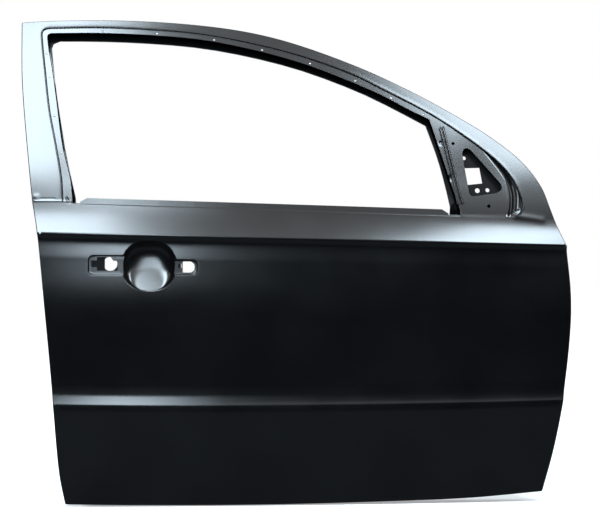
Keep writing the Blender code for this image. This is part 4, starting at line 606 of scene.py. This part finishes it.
def hem_width(x, z):
    """Width of the hem's fold, narrower on the frame."""
    share = ramp((z - belt_z(x) + HEM_CHANGE / 2) / HEM_CHANGE)
    return HEM_WIDTH + (HEM_WIDTH_FRAME - HEM_WIDTH) * share


def square_cutout(table, side):
    """Outline of a hole in a slot's floor, from its shares of the slot."""
    reach, half, middle = slot_sizes(side)
    return np.array([(BOWL[0] + a * reach, middle + b * 2 * half) for a, b in table])


def rounded(points, radius, steps=4):
    """Closed outline with round corners."""
    points = np.array(points)
    runs = []
    for before, corner, after in zip(np.roll(points, 1, axis=0), points, np.roll(points, -1, axis=0)):
        room = min(np.hypot(*(before - corner)), np.hypot(*(after - corner))) * 0.45
        runs.append(arc_corner(before, corner, after, min(radius, room), steps))
    return np.vstack(runs)


def divide(points, spacing, closed=True):
    """Outline with its long sides divided."""
    ends = np.roll(points, -1, axis=0) if closed else points[1:]
    runs = []
    for a, b in zip(points, ends):
        count = max(int(math.ceil(np.hypot(*(b - a)) / spacing)), 1)
        runs.append(a + (b - a) * (np.arange(count) / count)[:, None])
    if not closed:
        runs.append(points[-1:])
    return np.vstack(runs)


def circle(centre, radius, steps):
    """Points round a circle."""
    angle = np.linspace(0, 2 * math.pi, steps, endpoint=False)
    return np.stack([centre[0] + radius * np.cos(angle), centre[1] + radius * np.sin(angle)], 1)


def row_lines(body):
    """Rows of the layout along the door, kept off its edge and off the handle."""
    ends = np.linspace(0, DENSE, 15), np.linspace(1 - DENSE, 1, 14)[:-1]
    middle = np.concatenate([ends[0], np.linspace(DENSE, 1 - DENSE, 30)[1:-1], ends[1]])
    zones = (
        (sill_z, lower_z, np.linspace(0, 1, 15)[1:-1]), (lower_z, crease_z, middle),
        (crease_z, belt_z, np.linspace(0, 1, 12)))
    x = np.linspace(-REAR - ROW_MARGIN, -REAR + LENGTH + ROW_MARGIN, ROW_COUNT)
    lines = []
    for low, high, shares in zones:
        for share in shares:
            z = low(x) + (high(x) - low(x)) * share
            keep = inside(body, x, z) & (distance_to(body, x, z) > ROW_CLEARANCE)
            if low is not lower_z or share <= OPEN_ROWS:
                keep &= (np.abs(x - BOWL[0]) >= HANDLE_BLANK[0]) | (np.abs(z - BOWL[1]) >= HANDLE_BLANK[1])
            runs = np.split(np.arange(len(x)), np.flatnonzero(np.diff(keep)) + 1)
            kept = [run for run in runs if keep[run[0]] and len(run) > 1]
            lines += [(np.stack([x[run], z[run]], 1), False) for run in kept]
    return lines


def slot_line(side, inward):
    """Line along a slot's wall, open where it meets the cup."""
    ring = divide(slot_loop(side, inward), HOLE_STEP, closed=False)
    ring = ring[bowl_share(ring[:, 0], ring[:, 1]) > SLOT_RIM]
    gaps = np.hypot(*np.diff(ring, axis=0).T)
    widest = np.argmax(gaps) + 1
    if gaps[widest - 1] > SLOT_GAP:
        ring = np.vstack([ring[widest:], ring[:widest]])
    return ring


def skin_lines():
    """Lines of the skin's layout: rows, groove, ledge, window, belt, cup and slots."""
    body = offset(EDGE, HEM_ROUND, True)
    lines = [(body, True), (offset(EDGE, EDGE_LINE, True), True)]
    lines += row_lines(body)
    lines.append((GROOVE, False))
    lines += [(offset(GROOVE, inward, True), False) for inward in GROOVE_LINES]
    lines += [(offset(LEDGE, -inward, False), False) for inward in LEDGE_LINES]
    lines += [(WINDOW, True), (offset(WINDOW, -WINDOW_LINE, True), False)]
    ends = BELT_CORNERS[0] - BELT_LINE_ENDS, BELT_CORNERS[1] + BELT_LINE_ENDS
    lines += [(belt_run(ends[0], ends[1], FINE) - (0, below), False) for below in BELT_LINES]
    lines += [(bowl_ring(share, RING_STEPS), True) for share in OUTER_RINGS]
    lines += [(bowl_ring(share, RING_STEPS // 2), True) for share in INNER_RINGS]
    lines += [(slot_line(side, inward), False) for side in (-1, 1) for inward in SLOT_LINES]
    return lines, body


def clear_of(loops, points, gap):
    """Which points keep a gap to every loop."""
    return np.all([distance_to(loop, *points.T) > gap for loop in loops], axis=0)


def frame_points(body, openings):
    """Loose points of the layout over the window frame, its small folds and the mirror corner's foot."""
    loose = near_points(FRAME_FROM, FRAME_TO, FRAME_STEP)
    keep = inside(body, *loose.T) & ~inside(WINDOW, *loose.T)
    keep &= loose[:, 1] > belt_z(loose[:, 0]) + BODY_CLEARANCE
    keep &= clear_of([body, WINDOW], loose, BODY_CLEARANCE) & clear_of(openings, loose, HOLE_CLEARANCE)
    keep &= distance_to(GROOVE, *loose.T, closed=False) > GROOVE_CLEARANCE
    keep &= distance_to(LEDGE, *loose.T, closed=False) > LEDGE_CLEARANCE
    points = [loose[keep]]
    for ends, width, _ in PRESSED:
        ends, reach = places(ends), PRESSED_REACH * width
        loose = near_points(ends.min(0) - reach, ends.max(0) + reach, width * PRESSED_STEP)
        points.append(loose[inside(body, *loose.T) & ~inside(WINDOW, *loose.T)])
    loose = near_points(*places(SAIL_FOOT), CORNER_STEP)
    keep = inside(GROOVE, *loose.T) & (distance_to(GROOVE, *loose.T, closed=False) > GROOVE_CLEARANCE)
    points.append(loose[keep & clear_of(openings, loose, HOLE_CLEARANCE)])
    return np.vstack(points)


def handle_points(cutouts):
    """Loose points of the layout round the handle cup and on the slots' floors."""
    loose = near_points(BOWL - HANDLE_FIELD, BOWL + HANDLE_FIELD, HANDLE_STEP)
    keep = (bowl_share(*loose.T) > BOWL_CLEARANCE) & (loose[:, 1] < crease_z(loose[:, 0]) - CREASE_CLEARANCE)
    for ring in SLOTS.values():
        gap = distance_to(ring, *loose.T, closed=False)
        keep &= gap > np.where(inside(ring, *loose.T), SLOT_INSIDE, SLOT_OUTSIDE)
    return loose[keep & clear_of(cutouts, loose, HOLE_CLEARANCE)]


def outer_skin():
    """The skin's vertices over x and z, its faces, depth and normals, with its holes punched."""
    lines, body = skin_lines()
    mirror = rounded(places(MIRROR_HOLE), MIRROR_ROUND)
    tables = ((REAR_CUTOUT, -1), (FRONT_CUTOUT, 1), (FRONT_PILOT, 1))
    cutouts = [rounded(square_cutout(*table), radius) for table, radius in zip(tables, CUTOUT_ROUNDS)]
    clips = [circle(place, SAIL_CLIP_BORE / 2, CLIP_STEPS) for place in places(SAIL_CLIPS)]
    holes = [divide(loop, HOLE_STEP) for loop in [mirror] + cutouts] + clips
    lines += [(loop, True) for loop in holes]
    loose = np.vstack([frame_points(body, [mirror] + clips), handle_points(cutouts)])
    verts, faces = fill_layout(lines, loose, body, [WINDOW] + holes)
    x, z = verts.T
    return verts, faces, outer_y(x, z), face_normals(x, z, outer_y)


def boundary_loops(faces):
    """Chains of the open edges of a triangle list, each in the faces' own direction."""
    counted = {}
    for f in faces:
        for a, b in ((f[0], f[1]), (f[1], f[2]), (f[2], f[0])):
            if (b, a) in counted:
                counted[(b, a)] = 2
                counted[(a, b)] = 2
            else:
                counted.setdefault((a, b), 1)
    following = {a: b for (a, b), n in counted.items() if n == 1 and (b, a) not in counted}
    loops = []
    while following:
        start, ring = next(iter(following)), []
        at = start
        while at in following:
            ring.append(at)
            at = following.pop(at)
        loops.append(ring)
    return loops


class Surface:
    """Vertices with their normals, and faces, gathered for one object."""

    def __init__(self):
        self.verts, self.normals, self.faces = [], [], []

    def add(self, verts, normals):
        """Add vertices and give the first one's place."""
        start = len(self.verts)
        self.verts += [tuple(v) for v in verts]
        self.normals += [tuple(n) for n in normals]
        return start

    def grid(self, rows, normals, closed):
        """Quads between rows of points, each row as long as the next."""
        starts = [self.add(row, normal) for row, normal in zip(rows, normals)]
        count = len(rows[0])
        for a, b in zip(starts, starts[1:]):
            for k in range(count if closed else count - 1):
                after = (k + 1) % count
                self.faces.append((a + k, a + after, b + after, b + k))

    def object(self, name):
        """The finished object, kept inside the CAD model's box."""
        return mesh_object(name, np.clip(self.verts, cad_box[0], cad_box[1]), self.faces, self.normals)


def ring_sides(points, normals):
    """Directions away from the sheet along one of its edges, square to its normals."""
    ahead = np.roll(points, -1, axis=0) - np.roll(points, 1, axis=0)
    away = np.cross(ahead, normals)
    return away / np.maximum(np.linalg.norm(away, axis=1), 1e-9)[:, None]


def add_sheet(surface, verts, faces, y, normals, thickness, edge_kind):
    """A sheet's two faces with its rims. edge_kind gives each ring vertex its kind: rim, hem or flange."""
    front = np.stack([verts[:, 0], y, verts[:, 1]], 1)
    back = front - normals * thickness
    a = surface.add(front, normals)
    b = surface.add(back, -normals)
    surface.faces += [tuple(a + i for i in f) for f in faces]
    surface.faces += [tuple(b + i for i in f[::-1]) for f in faces]
    for ring in boundary_loops(faces):
        p, n = front[ring], normals[ring]
        away = ring_sides(p, n)
        kinds = edge_kind(p[:, 0], p[:, 2])
        for kind in set(kinds):
            for run, closed in runs_of(kinds == kind):
                add_edge(surface, kind, p[run], n[run], away[run], thickness, closed)


def runs_of(mask):
    """Runs of True places round a ring, each with one place past its end unless it is the whole ring."""
    count = len(mask)
    if mask.all():
        return [(np.arange(count), True)]
    starts = [k for k in range(count) if mask[k] and not mask[k - 1]]
    runs = []
    for start in starts:
        k, run = start, []
        while mask[k % count]:
            run.append(k % count)
            k += 1
        run.append(k % count)
        runs.append((np.array(run), False))
    return runs


def add_edge(surface, kind, p, n, away, thickness, closed):
    """Rim, folded hem or window flange along a run of the sheet's edge."""
    if kind == "rim":
        surface.grid([p, p - n * thickness], [away, away], closed)
    elif kind == "hem":
        rows, looks = [], []
        for angle in np.linspace(0, math.pi, HEM_STEPS):
            look = math.cos(angle) * n + math.sin(angle) * away
            rows.append(p - n * HEM_ROUND + look * HEM_ROUND)
            looks.append(look)
        width = hem_width(p[:, 0], p[:, 2])[:, None] - HEM_ROUND
        for share in (0.5, 1.0):
            inner = p - away * width * share
            inner[:, 1] = skin_y(inner[:, 0], inner[:, 2])
            rows.append(inner - n * 2 * HEM_ROUND)
            looks.append(-n)
        surface.grid(rows, looks, closed)
        surface.grid([rows[-1], rows[-1] + n * SHEET], [-away, -away], closed)
    else:
        rows, looks = [], []
        for angle in np.linspace(0, math.pi / 2, FLANGE_STEPS):
            look = math.cos(angle) * n + math.sin(angle) * away
            rows.append(p - n * FLANGE_ROUND + look * FLANGE_ROUND)
            looks.append(look)
        end = rows[-1].copy()
        end[:, 1] += WINDOW_FLANGE + header_lift(end[:, 2])
        surface.grid(rows + [end], looks + [away], closed)
        surface.grid([end, end - away * thickness], [[(0, 1, 0)] * len(p)] * 2, closed)
        start = rows[-1] - away * thickness - n * FLANGE_ROUND
        surface.grid([end - away * thickness, start], [-away, -away], closed)


def outer_kind(x, z):
    """Kind of each vertex of one of the skin's edges."""
    kinds = np.full(len(x), "rim", dtype="U6")
    if distance_to(EDGE, x, z).max() < NEAR_EDGE:
        kinds[:] = "hem"
    elif distance_to(WINDOW, x, z).max() < NEAR_WINDOW:
        kinds[z > belt_z(x) + FLANGE_FROM] = "flange"
    return kinds


def make_outer():
    """The outer skin."""
    verts, faces, y, normals = outer_skin()
    surface = Surface()
    add_sheet(surface, verts, faces, y, normals, SHEET, outer_kind)
    return surface.object("outer_skin")


def make_rail():
    """Ribbed front run channel, from its foot at the belt to the header."""
    surface = Surface()
    across, along = (np.linspace(0, 1, count) for count in RAIL_COUNT)
    foot, head = np.array(RAIL_FOOT), np.array(RAIL_HEAD)
    rise = np.zeros_like(across)
    for middle, half in RAIL_RIBS:
        rise += RAIL_RISE * ramp((half - np.abs(across - middle)) / RAIL_WALL)
    start = foot[0] + (foot[1] - foot[0]) * across[:, None]
    end = head[0] + (head[1] - head[0]) * across[:, None]
    rows = []
    for share in along:
        flat = start + (end - start) * share
        spread = RAIL_SPREAD * (1 - share) ** RAIL_SPREAD_POWER
        flat = flat + (foot[1] - foot[0]) * spread * (across[:, None] - RAIL_SPREAD_FROM)
        y = outer_y(flat[:, 0], flat[:, 1]) - RAIL_GAP
        height = rise * ramp((RAIL_END - share) * RAIL_END_STEEP)
        rows.append(np.stack([flat[:, 0], y - SHEET - height, flat[:, 1]], 1))
    rows = np.array(rows)
    normal = np.cross(np.gradient(rows, axis=0), np.gradient(rows, axis=1))
    normal /= np.linalg.norm(normal, axis=2)[:, :, None]
    if normal[:, :, 1].mean() > 0:
        normal = -normal
    back = rows - normal * SHEET
    surface.grid(rows, normal, False)
    surface.grid(back[::-1], -normal[::-1], False)
    for front_line, back_line, look in (
            (rows[0], back[0], (0, 0, -1)), (rows[-1], back[-1], (0, 0, 1)),
            (rows[:, 0], back[:, 0], (-1, 0, 0)), (rows[:, -1], back[:, -1], (1, 0, 0))):
        surface.grid([front_line, back_line], [[look] * len(front_line)] * 2, False)
    return surface.object("front_rail")


def weld_places():
    """Places of the weld marks, on the land beside the groove."""
    found = []
    for share in HEADER_WELDS:
        x = share * LENGTH - REAR
        high, low = knots(places(GROOVE_ROOF), x), knots(places(WINDOW_ROOF), x)
        found.append((float(x), float(low + WELD_SHARE * (high - RECESS_WALL - low))))
    for share in PILLAR_WELDS:
        z = share * HEIGHT - SILL
        sides = [knots(places(table)[:, ::-1], z) for table in (GROOVE_PILLAR, WINDOW_PILLAR)]
        found.append((float(sum(sides) + RECESS_WALL) / 2, float(z)))
    return found


def make_marks():
    """Weld marks on the window frame's land."""
    surface = Surface()
    angle = np.linspace(0, 2 * math.pi, WELD_STEPS, endpoint=False)
    back = np.array([(0.0, 1.0, 0.0)] * WELD_STEPS)
    for centre in weld_places():
        rows, looks = [], []
        for share, height, lean in WELD_RINGS:
            x = centre[0] + WELD_RADIUS * share * np.cos(angle)
            z = centre[1] + WELD_RADIUS * share * np.sin(angle)
            rows.append(np.stack([x, outer_y(x, z) - height, z], 1))
            up = np.sin(angle) * lean + WELD_TILT
            looks.append(np.stack([np.cos(angle) * lean, -np.ones(WELD_STEPS), up], 1))
        surface.grid(rows, looks, True)
        start = surface.add(rows[0], back)
        surface.faces.append(tuple(start + k for k in range(WELD_STEPS))[::-1])
    return surface.object("weld_marks")


def make_material(name, dark, light, rough, scale, metallic=0.0, specular=0.65, bump=0.03):
    """Procedural coat: broad variation of colour and roughness, small spots, fine grain and paler edges."""
    material = bpy.data.materials.new(name)
    material.use_nodes = True
    nodes, links = material.node_tree.nodes, material.node_tree.links
    shader = nodes["Principled BSDF"]
    shader.inputs["Metallic"].default_value = metallic
    shader.inputs["Specular IOR Level"].default_value = specular
    place = nodes.new("ShaderNodeTexCoord")

    def noise(size, detail):
        """Noise over the object's own space."""
        node = nodes.new("ShaderNodeTexNoise")
        node.inputs["Scale"].default_value = size
        node.inputs["Detail"].default_value = detail
        links.new(place.outputs["Object"], node.inputs["Vector"])
        return node.outputs["Fac"]

    def spread(source, low, high, first, last):
        """A value's range stretched to another."""
        node = nodes.new("ShaderNodeMapRange")
        for key, value in zip(("From Min", "From Max", "To Min", "To Max"), (low, high, first, last)):
            node.inputs[key].default_value = value
        links.new(source, node.inputs["Value"])
        return node.outputs["Result"]

    def mixed(factor, a, b):
        """Two colours mixed by a factor."""
        node = nodes.new("ShaderNodeMix")
        node.data_type = "RGBA"
        links.new(factor, node.inputs["Factor"])
        for key, value in (("A", a), ("B", b)):
            if isinstance(value, tuple):
                node.inputs[key].default_value = value + (1,)
            else:
                links.new(value, node.inputs[key])
        return node.outputs["Result"]

    broad, spots, fine = noise(scale, 4.0), noise(scale * SPOTS_FINER, 2.0), noise(scale * GRAIN_FINER, 2.0)
    coat = mixed(spread(broad, 0.35, 0.65, 0, 1), dark, light)
    worn = tuple(min(c * WORN, 1.0) for c in light)
    coat = mixed(spread(spots, 0.64, 0.80, 0, 0.5), coat, worn)
    shape = nodes.new("ShaderNodeNewGeometry")
    edge = tuple(min(c * WORN_EDGE, 1.0) for c in light)
    coat = mixed(spread(shape.outputs["Pointiness"], 0.53, 0.62, 0, 0.6), coat, edge)
    links.new(coat, shader.inputs["Base Color"])
    blur = nodes.new("ShaderNodeMath")
    blur.operation = "ADD"
    links.new(spread(broad, 0.3, 0.7, rough[0], rough[1]), blur.inputs[0])
    links.new(spread(spots, 0.55, 0.80, 0.0, SPOTS_ROUGHER), blur.inputs[1])
    links.new(blur.outputs["Value"], shader.inputs["Roughness"])
    relief = nodes.new("ShaderNodeBump")
    relief.inputs["Strength"].default_value = bump
    relief.inputs["Distance"].default_value = GRAIN_DEPTH
    links.new(fine, relief.inputs["Height"])
    links.new(relief.outputs["Normal"], shader.inputs["Normal"])
    return material


def soft_lamp(name, foot, head, target, width, power, colour):
    """Soft lamp from its foot to its head, facing a target."""
    foot, head, target = Vector(foot), Vector(head), Vector(target)
    data = bpy.data.lights.new(name, "AREA")
    data.shape = "RECTANGLE"
    data.size, data.size_y = width, (head - foot).length
    data.energy = power
    data.color = colour
    up = (head - foot).normalized()
    middle = (foot + head) / 2
    back = middle - target
    back = (back - up * back.dot(up)).normalized()
    lamp = bpy.data.objects.new(name, data)
    turn = Matrix((up.cross(back), up, back)).transposed().to_4x4()
    lamp.matrix_world = Matrix.Translation(middle) @ turn
    bpy.context.scene.collection.objects.link(lamp)


def stage_mesh(name, verts, faces, material):
    """Mesh of the set, which isn't part of the door."""
    mesh = bpy.data.meshes.new(name)
    mesh.from_pydata(verts, [], faces)
    mesh.materials.append(material)
    obj = bpy.data.objects.new(name, mesh)
    bpy.context.scene.collection.objects.link(obj)
    return obj


def seen_directly(nodes, links):
    """1 for rays from the camera, from a mirror or through glass, else 0."""
    path = nodes.new("ShaderNodeLightPath")
    first, second = nodes.new("ShaderNodeMath"), nodes.new("ShaderNodeMath")
    for node in (first, second):
        node.operation = "ADD"
        node.use_clamp = True
    links.new(path.outputs["Is Camera Ray"], first.inputs[0])
    links.new(path.outputs["Is Glossy Ray"], first.inputs[1])
    links.new(first.outputs["Value"], second.inputs[0])
    links.new(path.outputs["Is Transmission Ray"], second.inputs[1])
    return second.outputs["Value"]


def make_floor():
    """Pale floor that looks white and keeps the door's shadow."""
    material = bpy.data.materials.new("floor_look")
    material.use_nodes = True
    nodes, links = material.node_tree.nodes, material.node_tree.links
    shader = nodes["Principled BSDF"]
    shader.inputs["Base Color"].default_value = (0.8, 0.8, 0.8, 1)
    shader.inputs["Roughness"].default_value = 1.0
    shader.inputs["Specular IOR Level"].default_value = 0.0
    shader.inputs["Emission Color"].default_value = (1, 1, 1, 1)
    place = nodes.new("ShaderNodeTexCoord")
    away = nodes.new("ShaderNodeVectorMath")
    away.operation = "LENGTH"
    links.new(place.outputs["Object"], away.inputs[0])
    lift = nodes.new("ShaderNodeMapRange")
    lift.inputs["From Min"].default_value = FLOOR_FROM
    lift.inputs["From Max"].default_value = FLOOR_TO
    lift.inputs["To Min"].default_value = FLOOR_LIFT[0]
    lift.inputs["To Max"].default_value = FLOOR_LIFT[1]
    links.new(away.outputs["Value"], lift.inputs["Value"])
    strength = nodes.new("ShaderNodeMath")
    strength.operation = "MULTIPLY"
    links.new(seen_directly(nodes, links), strength.inputs[0])
    links.new(lift.outputs["Result"], strength.inputs[1])
    links.new(strength.outputs["Value"], shader.inputs["Emission Strength"])
    signs = ((-1, -1), (1, -1), (1, 1), (-1, 1))
    corners = [(a * FLOOR_HALF, b * FLOOR_HALF, -SILL - FLOOR_GAP) for a, b in signs]
    stage_mesh("floor", corners, [(0, 1, 2, 3)], material)


def dark_cloth(name, verts, faces, shade):
    """Cloth that only reflections see."""
    material = bpy.data.materials.new(name)
    material.use_nodes = True
    shader = material.node_tree.nodes["Principled BSDF"]
    shader.inputs["Base Color"].default_value = (shade, shade, shade, 1)
    shader.inputs["Roughness"].default_value = 1.0
    shader.inputs["Specular IOR Level"].default_value = 0.0
    cloth = stage_mesh(name, verts, faces, material)
    cloth.visible_camera = False
    cloth.visible_diffuse = False
    cloth.visible_shadow = False
    cloth.visible_transmission = False


def make_flags():
    """Dark cloth before the door: grey at its foot, black beyond and upright."""
    low, steps = -SILL - CLOTH_GAP, CLOTH_STEPS
    angle = np.linspace(math.pi, 2 * math.pi, steps)
    ring = np.stack([MIDDLE + CLOTH_RADIUS * np.cos(angle), CLOTH_RADIUS * np.sin(angle)], 1)
    verts = [(x, y, low) for x, y in ring] + [(x, y, CLOTH_TOP) for x, y in ring]
    faces = [tuple(range(steps))] + [(k, k + 1, steps + k + 1, steps + k) for k in range(steps - 1)]
    dark_cloth("dark_cloth", verts, faces, CLOTH_SHADE)
    ends = ((-1, -FOOT_REACH), (1, -FOOT_REACH), (1, 0.0), (-1, 0.0))
    foot = [(MIDDLE + side * FOOT_HALF, y, low + CLOTH_GAP / 2) for side, y in ends]
    dark_cloth("foot_cloth", foot, [(0, 1, 2, 3)], FOOT_SHADE)


def make_world():
    """White surroundings, dimmer where they only light the door."""
    world = bpy.data.worlds.new("surroundings")
    bpy.context.scene.world = world
    world.use_nodes = True
    nodes, links = world.node_tree.nodes, world.node_tree.links
    shader = nodes["Background"]
    shader.inputs["Color"].default_value = (1, 1, 1, 1)
    strength = nodes.new("ShaderNodeMapRange")
    strength.inputs["To Min"].default_value = WORLD_LIGHT[0]
    strength.inputs["To Max"].default_value = WORLD_LIGHT[1]
    links.new(seen_directly(nodes, links), strength.inputs["Value"])
    links.new(strength.outputs["Result"], shader.inputs["Strength"])


def make_camera():
    """Camera at the photo's viewing angle."""
    data = bpy.data.cameras.new("camera")
    data.sensor_width = SENSOR
    data.lens = SENSOR * CAMERA_AWAY / VIEW_WIDTH
    camera = bpy.data.objects.new("camera", data)
    turn = math.radians(CAMERA_TURN)
    ahead = Vector((math.sin(turn), math.cos(turn), 0.0))
    camera.location = Vector(CAMERA_AIM) - ahead * CAMERA_AWAY
    camera.rotation_mode = "QUATERNION"
    camera.rotation_quaternion = ahead.to_track_quat("-Z", "Y")
    bpy.context.scene.collection.objects.link(camera)
    bpy.context.scene.camera = camera


primer = make_material(
    "black_primer_look", (0.0019, 0.0020, 0.0023), (0.0031, 0.0033, 0.0036), (0.18, 0.23), 7.0, bump=0.010)
inner_coat = make_material(
    "inner_primer_look", (0.0022, 0.0023, 0.0025), (0.0036, 0.0038, 0.0041), (0.40, 0.48), 9.0, specular=0.35)
# Darker, duller copy of the primer: painted shade on the reinforcements inside the door.
primer_painted_shade = make_material(
    "primer_painted_shade_look", (0.0014, 0.0015, 0.0016), (0.0024, 0.0025, 0.0027), (0.56, 0.68), 11.0, specular=0.12)
beam_primer = make_material(
    "beam_primer_look", (0.0050, 0.0050, 0.0052), (0.0090, 0.0090, 0.0094), (0.42, 0.52), 14.0, specular=0.5)
# Plated steel for the tapping plates; the same pale metal on the weld marks is a painted highlight.
plated_and_glint = make_material(
    "plated_steel_and_glint_look", (0.30, 0.29, 0.26), (0.42, 0.41, 0.37), (0.34, 0.46), 24.0, metallic=1.0)
mastic = make_material(
    "mastic_look", (0.010, 0.010, 0.010), (0.020, 0.020, 0.019), (0.80, 0.92), 30.0, specular=0.3, bump=0.5)


def look_of(name):
    """Material of a CAD node; the reinforcements deep inside get the darker, duller primer copy that paints
    their shade.
    """
    if "tapping" in name:
        return plated_and_glint
    if "flutter" in name:
        return mastic
    if "beam" in name:
        return beam_primer
    if name == "inner_panel":
        return inner_coat
    return primer_painted_shade if name in PAINTED_SHADE_PARTS else primer


skin = make_outer()
skin.data.materials.append(primer)
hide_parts("outer_panel")
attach(skin, "root")
rail = make_rail()
rail.data.materials.append(primer)
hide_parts("front_run_channel")
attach(rail, "root")
marks = make_marks()
# Pale metal on the weld marks is a painted highlight, standing in for the glint on small primed dimples.
marks.data.materials.append(plated_and_glint)
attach(marks, "root")
for name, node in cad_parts.items():
    for slot in node.material_slots:
        slot.material = look_of(name)

make_floor()
make_flags()
make_world()
make_camera()
for name, foot, head, target, width, power in LAMPS:
    soft_lamp(name, foot, head, target, width, power, COOL)

bpy.context.scene.view_settings.view_transform = "Standard"
